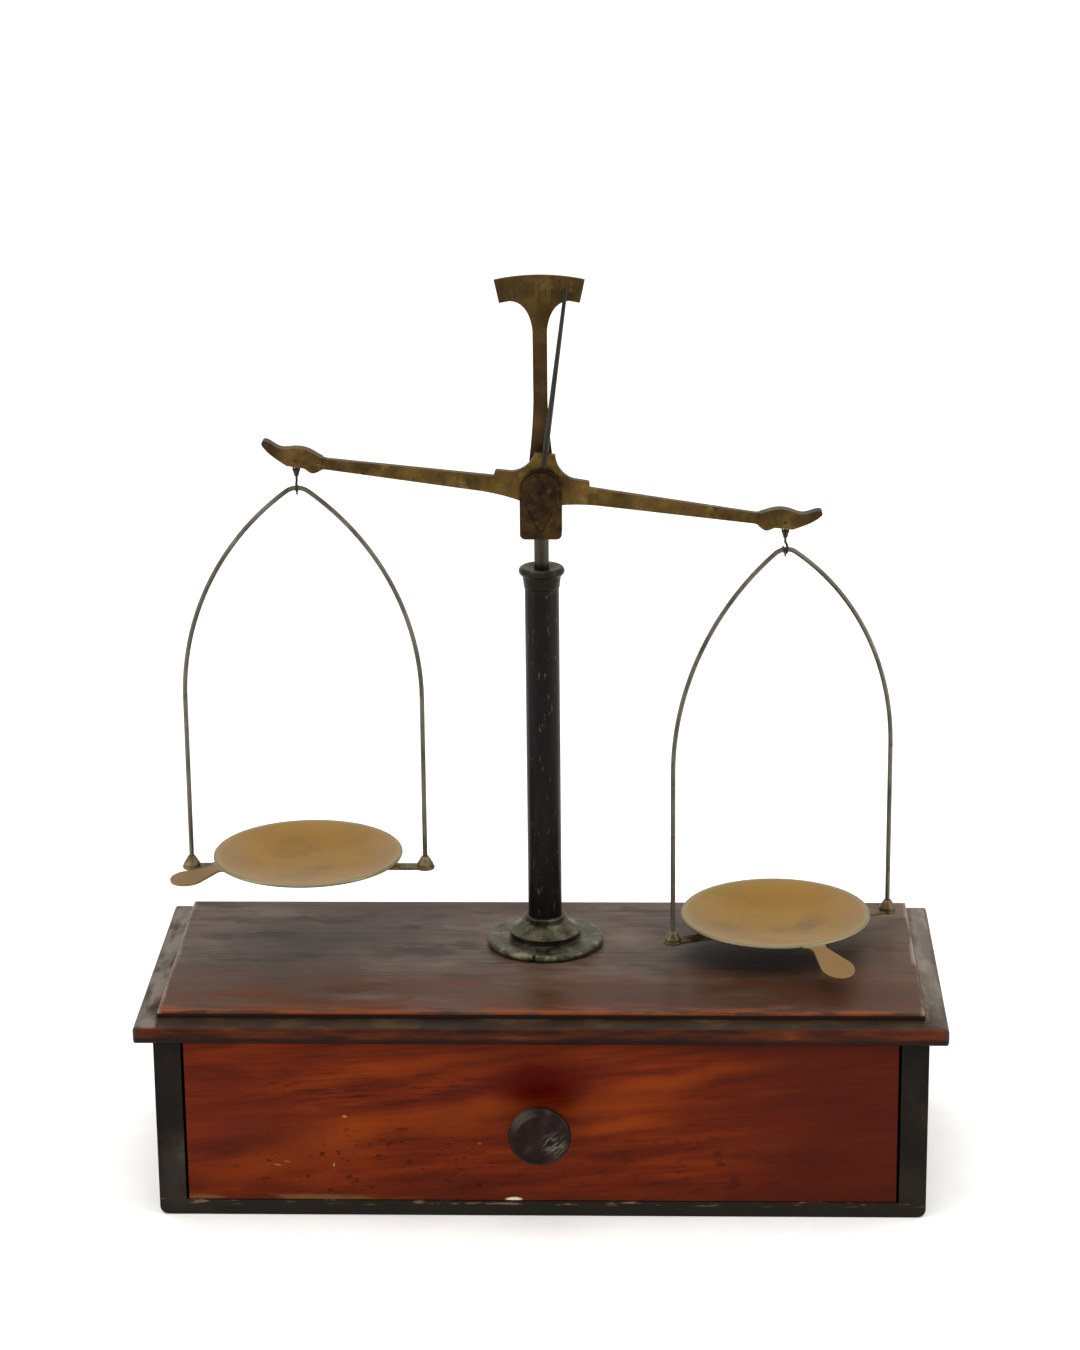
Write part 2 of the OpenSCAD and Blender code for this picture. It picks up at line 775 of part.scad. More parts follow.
module scale_screws() {
    color("#6a5a34") at_pivot() scale_screw_places() difference() {
        union() {
            peg_y(1, fork_hd - cheek_t + 0.3, cheek_t - 0.3 + scale_t);
            peg_y(1.8, fork_hd + scale_t, 1);
        }
        block([-2, fork_hd + scale_t + 0.5, -0.25], [2, fork_hd + scale_t + 2, 0.25]);
    }
}

// One half of the outline of the beam, x from the middle outwards.
// The end, with its bulge, notch and upturned tip, keeps its shape and follows the arm.
function beam_half(e) = concat(
    [[4.2, 14.9]],
    curve([4.2, 14.9], [4.8, 10.6], [8.4, 6.4], [13, 5.7]),
    [[19.2, 5.5], [19.7, 5.1], [20.1, 2.9]],
    [[e - 13.3, 1.15]],
    curve([e - 13.3, 1.15], [e - 9.3, 1.2], [e - 6.8, 4.5], [e - 1.5, 4.5]),
    curve([e - 1.5, 4.5], [e + 2.2, 4.5], [e + 3.5, 3.4], [e + 6, 3.4]),
    curve([e + 6, 3.4], [e + 8.8, 3.4], [e + 10.8, 5.5], [e + 13.1, 5.8]),
    curve([e + 13.1, 5.8], [e + 14.3, 6], [e + 15.1, 4.9], [e + 14.5, 3.8]),
    curve([e + 14.5, 3.8], [e + 11.8, 0.4], [e + 7, -1.8], [e + 3.4, -3.6]),
    [[e - 3.6, -3.75]],
    curve([e - 3.6, -3.75], [e - 5, -3.9], [e - 5.9, -5.3], [e - 7.4, -5.35]),
    curve([e - 7.4, -5.35], [e - 9.5, -5.4], [e - 10.5, -3.3], [e - 12.8, -3.3]),
    [[24, -4.1]],
    curve([24, -4.1], [17, -4.4], [12.5, -5.2], [9.5, -5.8]),
    curve([9.5, -5.8], [6.5, -6.6], [3, -7.2], [0, -7.2])
);

module beam_outline() {
    polygon(concat([[0, 14.9]], beam_half(arm)));
    mirror([1, 0]) polygon(concat([[0, 14.9]], beam_half(arm)));
}

// Wedge with its edge along Y at the origin, pointing down
module knife(h, len, grow = 0) {
    half = h * tan(knife_half) + grow / cos(knife_half);
    plate_xz(len) polygon([[0, -grow / sin(knife_half)], [half + grow, h + grow],
        [-half - grow, h + grow]]);
}

module beam() {
    end_from = arm - 11;
    color("#54431f") at_beam() difference() {
        union() {
            plate_xz(beam_t) beam_outline();
            plate_xz(end_t) intersection() {
                beam_outline();
                for (s = [-1, 1]) translate([s * (end_from + 20), 0]) square(40, center = true);
            }
        }
        knife(center_knife_h, 2 * beam_t, fit);
        for (s = [-1, 1]) translate([s * arm, 0, 0]) {
            block([-4.2, -slot_w / 2, -8], [4.2, slot_w / 2, 2.9]);
            rotate([180, 0, 0]) knife(end_knife_h, 2 * end_t, fit);
        }
        translate([0, pointer_y, 0])
            post(pointer_root_r + fit, pointer_foot_z - fit, pointer_cone_z);
    }
}

module center_knife() {
    color("#8c8a82") at_beam() knife(center_knife_h, fork_gap + 2 * (cheek_t - cap_spigot) - 0.3);
}

module end_knife(side) {
    color("#3a2a1a") at_beam() translate([side * arm, 0, 0]) rotate([180, 0, 0])
        knife(end_knife_h, end_t);
}

module end_knife_left() {
    end_knife(-1);
}

module end_knife_right() {
    end_knife(1);
}

// Tapering needle let into the front of the beam
module pointer() {
    color("#2b2a28") at_beam() translate([0, pointer_y, 0]) {
        post(pointer_root_r, pointer_foot_z, pointer_cone_z);
        translate([0, 0, pointer_cone_z]) cylinder(r1 = pointer_root_r, r2 = pointer_tip_r,
            h = pointer_len - pointer_point - pointer_cone_z);
        translate([0, 0, pointer_len - pointer_point])
            cylinder(r1 = pointer_tip_r, r2 = 0.25, h = pointer_point);
    }
}

// Wire loop over the end knife edge, with the bored socket that carries the hook.
// The legs are a hair thinner than the loop and lap into it.
module stirrup(side) {
    leg_x = loop_r * cos(loop_taper);
    leg_z = loop_z - loop_r * sin(loop_taper);
    leg_len = (leg_z - socket_z + socket_ring / 2) / cos(loop_taper);
    lap = 0.2;
    color("#4a4843") at_hanger(side, 0) difference() {
        union() {
            rotate([90, 0, 0]) translate([0, loop_z, 0]) rotate([0, 0, -loop_taper])
                rotate_extrude(angle = 180 + 2 * loop_taper) translate([loop_r, 0])
                    circle(r = loop_wire_r, $fn = 24);
            for (s = [-1, 1]) translate([s * leg_x, 0, leg_z])
                rotate([0, 180 + s * loop_taper, 0])
                    post(loop_wire_r - 0.02, -lap, leg_len, $fn = 24);
            post(socket_r, socket_z - socket_ring, socket_z);
            translate([0, 0, socket_z - socket_ring - socket_cone])
                cylinder(r1 = shank_r + 0.35, r2 = socket_r - 0.15, h = socket_cone);
        }
        post(shank_r + shank_fit, socket_z - socket_ring - socket_cone - 1, socket_z + 0.4);
    }
}

module stirrup_left() {
    stirrup(-1);
}

module stirrup_right() {
    stirrup(1);
}

// Hook with a round head above the socket, a crook round the bail and a short tail
module hook(side, turn) {
    color("#4a4843") at_hanger(side, turn) {
        post(head_r, socket_z + shank_fit, socket_z + shank_fit + head_t);
        post(shank_r, crook_z + crook_r, socket_z + shank_fit);
        translate([0, 0, crook_z]) rotate([90, 0, -90]) rotate([0, 0, 180])
            rotate_extrude(angle = 270) translate([crook_r, 0]) circle(r = shank_r, $fn = 32);
        translate([0, 0, crook_z - crook_r - 1.7]) cylinder(r1 = 0.2, r2 = 0.5, h = 1.7);
    }
}

module hook_left() {
    hook(-1, turn_left);
}

module hook_right() {
    hook(1, turn_right);
}

// Arc of round wire in the XZ plane, centred at (x, z), between two angles from +X
module wire_arc(x, z, arc_r, from, to, wire_r) {
    rotate([90, 0, 0]) translate([x, z, 0]) rotate([0, 0, from])
        rotate_extrude(angle = to - from) translate([arc_r, 0]) circle(r = wire_r, $fn = 32);
}

// Bail of round wire: a small bend at the top, two long arcs and two straight legs.
// The long arcs are a hair thinner than the rest and lap into the bend and the legs.
module bail(side, turn) {
    r = wire_d / 2;
    lap = 0.4;
    lap_angle = lap / arch_r * 180 / PI;
    color("#6c685e") at_hanger(side, turn) translate([0, 0, -hook_drop]) {
        wire_arc(0, -apex_r, apex_r, arch_angle, 180 - arch_angle, r);
        for (m = [0, 1]) mirror([m, 0, 0]) {
            wire_arc(bail_hw - arch_r, arch_z, arch_r, 0, arch_angle + lap_angle, r - 0.015);
            translate([bail_hw, 0, 0]) post(r, -bail_drop - bar_t, arch_z + lap, $fn = 32);
        }
    }
}

module bail_left() {
    bail(-1, turn_left);
}

module bail_right() {
    bail(1, turn_right);
}

// Two brass cones that hold the wire to the bar
module bail_feet(side, turn) {
    color("#6e5c34") at_hanger(side, turn) translate([0, 0, -hook_drop - bail_drop])
        for (s = [-1, 1]) translate([s * bail_hw, 0, 0]) difference() {
            union() {
                cylinder(r = foot_d / 2, h = 1);
                translate([0, 0, 1]) cylinder(r1 = foot_d / 2, r2 = wire_d / 2 + 0.5,
                    h = foot_h - 1);
            }
            post(wire_d / 2 + fit, -1, foot_h + 1);
        }
}

module bail_feet_left() {
    bail_feet(-1, turn_left);
}

module bail_feet_right() {
    bail_feet(1, turn_right);
}

// Flat bar from foot to foot, with round pads at its ends
module cross_bar(side, turn) {
    color("#6e5c34") at_hanger(side, turn) translate([0, 0, -hook_drop - bail_drop - bar_t])
        linear_extrude(height = bar_t) difference() {
            union() {
                square([bail_w, bar_w], center = true);
                for (s = [-1, 1]) translate([s * bail_hw, 0]) circle(r = pad_r);
            }
            for (s = [-1, 1]) translate([s * bail_hw, 0]) circle(r = wire_d / 2 + fit);
        }
}

module cross_bar_left() {
    cross_bar(-1, turn_left);
}

module cross_bar_right() {
    cross_bar(1, turn_right);
}

// Shallow dish, its lowest point at the origin, with a beaded rim
module dish() {
    bead_r = 0.75;
    rotate_extrude() {
        intersection() {
            difference() {
                translate([0, dish_r]) circle(r = dish_r, $fn = 720);
                translate([0, dish_r]) circle(r = dish_r - pan_t, $fn = 720);
            }
            square([pan_r - 0.4, pan_depth]);
        }
        translate([pan_r - bead_r, pan_depth - bead_r]) circle(r = bead_r, $fn = 32);
    }
}

// Outline of a thumb tab along +X: flared root, narrow neck and round end
module tab_outline(run) {
    root_r = 3;
    end_r = tab_w / 2;
    rotate([0, 0, -90]) polygon(both_sides(concat(
        [[tab_neck / 2 + root_r, -0.8]],
        arc([tab_neck / 2 + root_r, root_r + 0.9], root_r, 270, 180, 5),
        arc([0, run - end_r], end_r, -8, 87, 14)
    )));
}

// Thumb tab along +X, bent down from the rim of the dish
module tab(droop) {
    start = pan_r - 1.2;
    run = tab_reach - start;
    slope = asin(droop / run);
    translate([start, 0, pan_depth - pan_t - 0.3]) rotate([0, slope, tab_skew])
        linear_extrude(height = pan_t) tab_outline(run);
}

module pan(side, bar_turn, off, tab_turn, droop) {
    color("#a08048") at_hanger(side, 0)
        translate([off * cos(bar_turn), off * sin(bar_turn), -hook_drop - bail_drop + pan_seat]) {
            dish();
            rotate([0, 0, tab_turn]) tab(droop);
        }
}

module pan_left() {
    pan(-1, turn_left, 0, tab_turn_left, droop_left);
}

module pan_right() {
    pan(1, turn_right, pan_off_right, tab_turn_right, droop_right);
}

bottom_board();
side_panel_left();
side_panel_right();
back_panel();
stop_blocks();
top_board();
case_nails();
drawer_front();
drawer_side_left();
drawer_side_right();
drawer_back();
drawer_bottom();
drawer_nails();
drawer_knob();
knob_screw();
flange_disc();
flange_bell();
column_tube();
capital();
rod_guide();
column_washer();
column_nut();
lift_rod();
fork();
bearing_front();
bearing_rear();
bearing_cap_front();
bearing_cap_rear();
scale_plate();
scale_screws();
beam();
center_knife();
end_knife_left();
end_knife_right();
pointer();
stirrup_left();
stirrup_right();
hook_left();
hook_right();
bail_left();
bail_right();
bail_feet_left();
bail_feet_right();
cross_bar_left();
cross_bar_right();
pan_left();
pan_right();
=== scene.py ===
# %% [markdown]
# # A pharmacy column balance
# This is an equal-arm balance on its own drawer box: a polished mahogany drawer in a black
# stained case, a moulded top board, a black column, and aged brass work above. The solids come
# from CAD, in metres, and stay where they are. This lesson gives them their finish, softens the
# edges that hands have rounded, adds the small things that only show close to, and lights it all.

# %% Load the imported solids
import bmesh
import bpy
import json
import math
from mathutils import Matrix, Vector


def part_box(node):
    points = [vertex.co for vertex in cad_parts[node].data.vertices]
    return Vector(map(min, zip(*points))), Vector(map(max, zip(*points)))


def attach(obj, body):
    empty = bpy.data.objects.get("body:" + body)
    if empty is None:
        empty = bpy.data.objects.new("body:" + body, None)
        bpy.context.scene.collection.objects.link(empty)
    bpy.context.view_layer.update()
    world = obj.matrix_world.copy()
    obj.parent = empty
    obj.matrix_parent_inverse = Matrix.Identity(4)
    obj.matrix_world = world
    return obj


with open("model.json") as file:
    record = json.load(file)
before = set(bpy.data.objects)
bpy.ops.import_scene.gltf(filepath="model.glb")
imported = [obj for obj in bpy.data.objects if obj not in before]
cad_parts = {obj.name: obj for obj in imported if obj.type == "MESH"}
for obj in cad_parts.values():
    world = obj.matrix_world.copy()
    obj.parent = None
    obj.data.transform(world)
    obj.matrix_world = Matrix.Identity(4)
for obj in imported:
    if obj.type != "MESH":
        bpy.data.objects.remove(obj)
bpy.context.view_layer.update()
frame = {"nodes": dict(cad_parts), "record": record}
nodes = frame["nodes"]

# %% [markdown]
# ## The camera
# A long lens from a metre and a half away, looking down by seventeen and a half degrees, keeps
# the uprights almost parallel, as a catalogue picture does. A rotation in Euler angles would do,
# but three axes show plainly where the camera looks, what is right of it and what is up.

# %% Place the camera
IMAGE_LONG_PX = 1350
FOCAL_PX = 3614.8
SENSOR_MM = 36.0
CAMERA_M = (0.0503, -1.43734, 0.67047)
NEAR_M, FAR_M = 0.05, 60.0
YAW_DEG, PITCH_DEG, ROLL_DEG = -2.03, 17.52, -0.60
yaw, pitch, roll = (math.radians(angle) for angle in (YAW_DEG, PITCH_DEG, ROLL_DEG))
look = Vector((math.sin(yaw) * math.cos(pitch), math.cos(yaw) * math.cos(pitch),
               -math.sin(pitch)))
level = Vector((math.cos(yaw), -math.sin(yaw), 0.0))
upright = level.cross(look)
right = level * math.cos(roll) + upright * math.sin(roll)
up = upright * math.cos(roll) - level * math.sin(roll)

lens = bpy.data.cameras.new("catalogue_lens")
lens.sensor_width = SENSOR_MM
lens.lens = FOCAL_PX / IMAGE_LONG_PX * SENSOR_MM
lens.clip_start, lens.clip_end = NEAR_M, FAR_M
camera = bpy.data.objects.new("camera", lens)
bpy.context.scene.collection.objects.link(camera)
axes = Matrix((right, up, -look)).transposed().to_4x4()
camera.matrix_world = Matrix.Translation(CAMERA_M) @ axes
bpy.context.scene.camera = camera
bpy.context.scene.view_settings.view_transform = "Standard"
print("lens in mm:", round(lens.lens, 1))


# %% [markdown]
# ## One helper for every node
# Colours are written as sRGB hex, the way a paint chart gives them, and turned to the linear
# values that a shader wants. One small function adds a node of any kind, with its settings, its
# colour stops and its links. A link may be a number, a hex colour, a socket or another node,
# whose first output in use is then read.

# %% Colours and nodes
def colour(code):
    """Linear colour from an sRGB hex code."""
    parts = [int(code[i:i + 2], 16) / 255 for i in (1, 3, 5)]
    return tuple(c / 12.92 if c <= 0.04045 else ((c + 0.055) / 1.055) ** 2.4
                 for c in parts) + (1.0,)


print("middle grey in linear light:", round(colour("#808080")[0], 3))


def add(tree, kind, links=None, stops=(), **settings):
    """Adds a node with its settings, its colour stops and its links."""
    node = tree.nodes.new(kind)
    for key, value in settings.items():
        setattr(node, key, value)
    for i, (position, code) in enumerate(stops):
        element = (node.color_ramp.elements[i] if i < 2 else
                   node.color_ramp.elements.new(position))
        element.position = position
        element.color = colour(code)
    for socket, value in (links or {}).items():
        if isinstance(value, bpy.types.Node):
            value = next(output for output in value.outputs if output.enabled)
        if isinstance(value, bpy.types.NodeSocket):
            tree.links.new(value, node.inputs[socket])
        else:
            node.inputs[socket].default_value = (
                colour(value) if isinstance(value, str) else value)
    return node


# %% [markdown]
# ## Light and floor
# A white tent: bright above, dimmer toward the horizon so that black stain and varnish stay
# black, one large soft lamp overhead that settles the shadow of the pans on the board, and two
# tall lamps at the sides whose reflections draw the edges of the column. A picture of a studio
# could stand in for the tent, but a plain gradient leaves no odd shapes in the black parts. The
# floor is matt paper.

# %% World and lamps
TENT_STRENGTH = 1.22
world = bpy.data.worlds.new("white_tent")
world.use_nodes = True
sky = world.node_tree
sky.nodes.clear()
direction = add(sky, "ShaderNodeTexCoord").outputs["Generated"]
height = add(sky, "ShaderNodeSeparateXYZ", {"Vector": direction}).outputs["Z"]
tent = add(sky, "ShaderNodeValToRGB", {"Fac": height}, stops=[
    (0.0, "#bdbab6"), (0.75, "#fffefc")])
tent_light = add(sky, "ShaderNodeBackground", {
    "Color": tent, "Strength": TENT_STRENGTH})
add(sky, "ShaderNodeOutputWorld", {"Surface": tent_light})
bpy.context.scene.world = world


def lamp(name, kind, place, aim, strength, **settings):
    """Adds a lamp that points from place to aim, both in metres."""
    data = bpy.data.lights.new(name, kind)
    data.energy = strength
    for key, value in settings.items():
        setattr(data, key, value)
    item = bpy.data.objects.new(name, data)
    item.location = place
    item.rotation_euler = (Vector(aim) - Vector(place)).to_track_quat("-Z", "Y").to_euler()
    bpy.context.scene.collection.objects.link(item)


STRIP = {"shape": "RECTANGLE", "size": 0.25, "size_y": 1.0}
lamp("overhead", "SUN", (-0.1, 0.06, 1.0), (0, 0, 0), 0.8, angle=math.radians(50))
lamp("left_strip", "AREA", (-1.1, -0.5, 0.5), (0, 0, 0.2), 5.0, **STRIP)
lamp("right_strip", "AREA", (1.15, -0.35, 0.5), (0, 0, 0.2), 7.0, **STRIP)
print("lamps:", len(bpy.data.lights))


# %% [markdown]
# ## Patterns measured on the object
# Old finishes are layers: a stain, blots in it, and wear in known places. Five helpers write
# that down in real millimetres. blots is soft random mottling, patch is a soft spot or stripe at
# a place, wander makes straight borders wavy, lathe_rings run round an axis, and layered lays
# coats of colour over each other. Many of the places come from the boxes of the solids. Marks
# too fine to show from here, such as wood pores, file marks, the grain of cast brass and the
# rings of a lathe, are drawn as coarse as they need to show.

# %% Places on the part
MM = 0.001


def box_mm(name):
    """Low and high corner of a CAD node's box, in millimetres."""
    return [corner * 1000 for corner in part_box(name)]


def middle_of(name):
    """Middle of a CAD node's box, in metres."""
    low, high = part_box(name)
    return (low + high) / 2


print("board from", *(tuple(round(c) for c in corner) for corner in box_mm("top_board")), "mm")

# %% Start and end a finish
SHEEN = "Specular IOR Level"


def start(name, **sockets):
    """New material: its tree, its shader with those sockets set, and the place in metres."""
    finish = bpy.data.materials.new(name)
    finish.use_nodes = True
    tree = finish.node_tree
    tree.nodes.clear()
    shader = add(tree, "ShaderNodeBsdfPrincipled", sockets)
    add(tree, "ShaderNodeOutputMaterial", {"Surface": shader})
    return finish, tree, shader, add(tree, "ShaderNodeTexCoord").outputs["Object"]


def surface(finish, tree, shader, base, gloss, rough, height, depth_mm):
    """Ends a material: its colour, its roughness along gloss from low to high, and its relief."""
    spread = add(tree, "ShaderNodeMapRange", {
        "Value": gloss, "From Min": 0.3, "From Max": 0.75, "To Min": rough[0], "To Max": rough[1]})
    bump = add(tree, "ShaderNodeBump", {"Height": height, "Distance": depth_mm * MM})
    for value, socket in ((base, "Base Color"), (spread, "Roughness"), (bump, "Normal")):
        tree.links.new(value.outputs[2 if value.bl_idname == "ShaderNodeMix" else 0],
                       shader.inputs[socket])
    print("finish:", finish.name, len(tree.nodes), "nodes")
    return finish


# %% Patterns in millimetres
def blots(tree, place, size_mm, above=None, most=1.0, detail=3.0, tilt=0.0, shift=0.0):
    """Soft random blots of that size along X, Y and Z. above, two levels, makes them a mask."""
    turned = add(tree, "ShaderNodeMapping", {
        "Vector": place, "Rotation": (0, math.radians(tilt), 0), "Location": (shift, shift, 0)})
    scaled = add(tree, "ShaderNodeVectorMath", {
        0: turned, 1: tuple(1 / (s * MM) for s in size_mm)}, operation="MULTIPLY")
    noise = add(tree, "ShaderNodeTexNoise", {
        "Vector": scaled, "Scale": 1.0, "Detail": detail, "Roughness": 0.57})
    if above is None:
        return noise
    return add(tree, "ShaderNodeMapRange", {
        "Value": noise, "From Min": above[0], "From Max": above[1], "To Max": most},
        interpolation_type="SMOOTHSTEP")


def patch(tree, place, middle_mm, reach_mm, soft=0.4, most=1.0, tilt=0.0):
    """Mask of a spot with that middle and reach. A reach of None is endless."""
    offset = add(tree, "ShaderNodeVectorMath", {
        0: place, 1: tuple(m * MM for m in middle_mm)}, operation="SUBTRACT")
    turned = add(tree, "ShaderNodeMapping", {
        "Vector": offset, "Rotation": (0, math.radians(tilt), 0)})
    scaled = add(tree, "ShaderNodeVectorMath", {
        0: turned, 1: tuple(0 if r is None else 1 / (r * MM) for r in reach_mm)},
        operation="MULTIPLY")
    out = add(tree, "ShaderNodeVectorMath", {0: scaled}, operation="LENGTH")
    return add(tree, "ShaderNodeMapRange", {
        "Value": out, "From Min": 1 + soft, "From Max": 1 - soft, "To Max": most},
        interpolation_type="SMOOTHSTEP")


def wander(tree, place, size_mm, by_mm):
    """The place, moved about by up to that much, so that borders drawn in it are wavy."""
    scaled = add(tree, "ShaderNodeVectorMath", {0: place, "Scale": 1 / (size_mm * MM)},
                 operation="SCALE")
    noise = add(tree, "ShaderNodeTexNoise", {"Vector": scaled, "Scale": 1.0, "Detail": 3.0})
    centred = add(tree, "ShaderNodeVectorMath", {
        0: noise.outputs["Color"], 1: (0.5, 0.5, 0.5)}, operation="SUBTRACT")
    moved = add(tree, "ShaderNodeVectorMath", {
        0: centred, 1: (by_mm * 2 * MM,) * 3, 2: place}, operation="MULTIPLY_ADD")
    return moved.outputs[0]


def lathe_rings(tree, place, middle, across, phase_per_m):
    """Wave that runs outward from an axis through middle. across is 1 square to the axis."""
    offset = add(tree, "ShaderNodeVectorMath", {0: place, 1: middle}, operation="SUBTRACT")
    flat = add(tree, "ShaderNodeVectorMath", {0: offset, 1: across}, operation="MULTIPLY")
    reach = add(tree, "ShaderNodeVectorMath", {0: flat}, operation="LENGTH")
    phase = add(tree, "ShaderNodeMath", {0: reach, 1: phase_per_m}, operation="MULTIPLY")
    return add(tree, "ShaderNodeMath", {0: phase}, operation="SINE")


def layered(tree, base, *coats):
    """Lays each coat of colour over base, where all of the coat's masks are light."""
    for tint, *masks in coats:
        mask = masks[0]
        for other in masks[1:]:
            mask = add(tree, "ShaderNodeMath", {0: mask, 1: other}, operation="MULTIPLY")
        base = add(tree, "ShaderNodeMix", {0: mask, 6: base, 7: tint}, data_type="RGBA")
    return base


# %% Floor
FLOOR_HALF_M, FLOOR_DROP_M = 25.0, 0.0002
paper, tree, shader, place = start("matt_paper_floor", **{SHEEN: 0.1})
fibres = blots(tree, place, (30, 30, 30), detail=4)
white = add(tree, "ShaderNodeValToRGB", {"Fac": fibres}, stops=[
    (0.3, "#f6f5f3"), (0.7, "#fbfaf8")])
surface(paper, tree, shader, white, fibres, (0.85, 0.95), fibres, 0.05)
sheet_mesh = bpy.data.meshes.new("floor")
build = bmesh.new()
bmesh.ops.create_grid(build, x_segments=4, y_segments=4, size=FLOOR_HALF_M)
build.to_mesh(sheet_mesh)
build.free()
floor = bpy.data.objects.new("floor", sheet_mesh)
bpy.context.scene.collection.objects.link(floor)
floor.data.materials.append(paper)
floor.location.z = -FLOOR_DROP_M
print("floor:", round(floor.dimensions.x), "m wide")

# %% [markdown]
# ## Mahogany of the drawer front
# Honduras mahogany, quarter sawn, stained red and French polished: shellac rubbed on in many
# thin coats. It gives deep orange-red lights that run a little uphill along the grain, darker
# streaks between them, and short dark pores. Old polish has gone brown at the far end and dark
# red where fingers reached for the knob. Scanned veneer would repeat and blur close to. Noise
# stretched along the grain never does, and the few marks that make this front its own are laid
# over it one by one.

# %% French polished mahogany
mahogany, tree, shader, place = start("french_polished_mahogany", IOR=1.5, **{SHEEN: 0.04})
drawer_low, _ = box_mm("drawer_front")
FRONT = drawer_low.y
wavy = wander(tree, place, 18, 4)
figure = blots(tree, place, (52, 30, 7), detail=5, tilt=6)
base = add(tree, "ShaderNodeValToRGB", {"Fac": figure}, stops=[
    (0.30, "#451608"), (0.44, "#541b08"), (0.57, "#612108"), (0.72, "#6e2b08")])
streaks = blots(tree, place, (30, 20, 1.2), (0.48, 0.74), 0.45, tilt=4, shift=0.3)
dashes = blots(tree, place, (9, 9, 0.9), (0.50, 0.62), 0.65, tilt=3, shift=0.6)
dashed_part = patch(tree, wavy, (-72, FRONT, 57), (52, None, 9), 0.5)
base = layered(tree, base, ("#32100a", streaks), ("#2a0d08", dashes, dashed_part))
# The orange lights of the figure: middle x and z, half length, half height, strength.
LIGHTS = ((-125, 20, 17, 5, 0.4), (-84, 37, 17, 5, 0.8), (-100, 26, 24, 6, 0.4),
          (-46, 43, 22, 5, 0.45), (-18, 48, 14, 4, 0.5), (31, 40, 20, 2.8, 0.8),
          (48, 59, 20, 3.2, 0.65), (78, 66, 20, 3, 0.4), (30, 50, 24, 5, 0.4),
          (-60, 66, 40, 2.6, 0.4), (95, 34, 18, 4, 0.3), (-18, 66, 30, 2.6, 0.3))
for x, z, length, tall, strength in LIGHTS:
    light = patch(tree, wavy, (x, FRONT, z), (length, None, tall), 0.8, strength, tilt=9)
    base = layered(tree, base, ("#7e3307", light))
far_end = patch(tree, wavy, (150, FRONT, 40), (66, None, None), 0.5, 0.75)
low = patch(tree, wavy, (0, FRONT, 4), (None, None, 11), 0.7, 0.4)
low_left = patch(tree, wavy, (-120, FRONT, 36), (34, None, 15), 0.7, 0.4)
fingers = patch(tree, wavy, (1, FRONT, 60), (20, None, 10), 0.6, 0.9)
base = layered(tree, base, ("#3d1209", far_end), ("#3a130b", low), ("#47180e", low_left),
               ("#3e0300", fingers))
# Dark pits two or three millimetres wide, thickest low down, and softer smudges beside them.
pits = blots(tree, place, (4.2, 4.2, 2.2), (0.61, 0.70), 0.75, detail=2, shift=0.2)
pitted_part = patch(tree, wavy, (-55, FRONT, 24), (75, None, 17), 0.5)
smudges = blots(tree, place, (8, 8, 4), (0.54, 0.68), 0.7, shift=0.45)
smudged_part = patch(tree, wavy, (68, FRONT, 24), (42, None, 14), 0.5)
base = layered(tree, base, ("#2a0a06", pits, pitted_part), ("#35100a", smudges, smudged_part))
# Small chips: middle x and z, half length, half height, and how much of the pale wood shows.
CHIPS = ((-81.5, 44.5, 0.9, 0.5, 0.6), (-25.5, 32.5, 0.8, 0.4, 0.3), (-110, 22.5, 1.5, 0.3, 0.4),
         (-86.5, 22.5, 0.4, 0.9, 0.5), (-106, 24, 1.2, 0.3, 0.3))
for x, z, length, tall, strength in CHIPS:
    chip = patch(tree, place, (x, FRONT, z), (length, None, tall), 0.5, strength, tilt=-12)
    base = layered(tree, base, ("#b4785a", chip))
foot_wear = patch(tree, place, (-110, FRONT, drawer_low.z + 0.8), (45, None, 1.6), 0.5)
foot_rubs = blots(tree, place, (22, 9, 3), (0.40, 0.62), 0.7, shift=0.8)
bare_chip = patch(tree, wander(tree, place, 1.5, 0.3), (-11.5, FRONT, drawer_low.z + 0.4),
                  (3.2, None, 0.9), 0.3)
base = layered(tree, base, ("#6b4a28", foot_wear, foot_rubs), ("#d2c2aa", bare_chip))
pores = blots(tree, place, (5, 3, 0.45), detail=2, shift=0.7)
surface(mahogany, tree, shader, base, figure, (0.26, 0.42), pores, 0.04)

# %% [markdown]
# ## The top board
# The same mahogany, but it has lain under pans, damp bottles and dust. The raised field has gone
# brown, partly greyed by a painted sheen, with red left near the front and a painted shadow,
# nearly black, below the right pan. The ledge of the moulding holds grey-green dirt, with a
# painted light along its right side; the step below the field and the underside of the nose are
# painted shade. The outer nose is rubbed back to red wood, and the sharp edges of the field have
# worn pale. Wear like this is often painted by hand on an unwrapped mesh. Here its borders are
# taken from the board's own box, so it follows the moulding exactly.

# %% Worn polished board: the field
board, tree, shader, place = start("worn_polished_board", IOR=1.5, **{SHEEN: 0.09})
board_low, board_high = box_mm("top_board")
LEDGE_MM, LEDGE_END_MM, STEP_MM, NOSE_DROP_MM = 7.0, 9.8, 2.9, 4.6
field_x, field_y, field_z = board_high.x - LEDGE_END_MM, board_high.y - LEDGE_MM, board_high.z
print("raised field in mm:", round(2 * field_x), "by", round(2 * field_y))
mirrored = add(tree, "ShaderNodeVectorMath", {0: place}, operation="ABSOLUTE").outputs[0]
wavy = wander(tree, place, 22, 6)
mottle = blots(tree, wavy, (46, 26, 26), detail=5)
# Partly the wood's own brown and partly a painted sheen: the grey a glossy field would reflect.
base = add(tree, "ShaderNodeValToRGB", {"Fac": mottle}, stops=[
    (0.30, "#362820"), (0.44, "#483a30"), (0.56, "#56483e"), (0.72, "#675b50")])
lines = blots(tree, place, (60, 1.8, 1.8), (0.48, 0.74), 0.5, shift=0.2)
clouds = blots(tree, wavy, (38, 12, 12), (0.48, 0.66), 0.75, detail=4, shift=0.7)
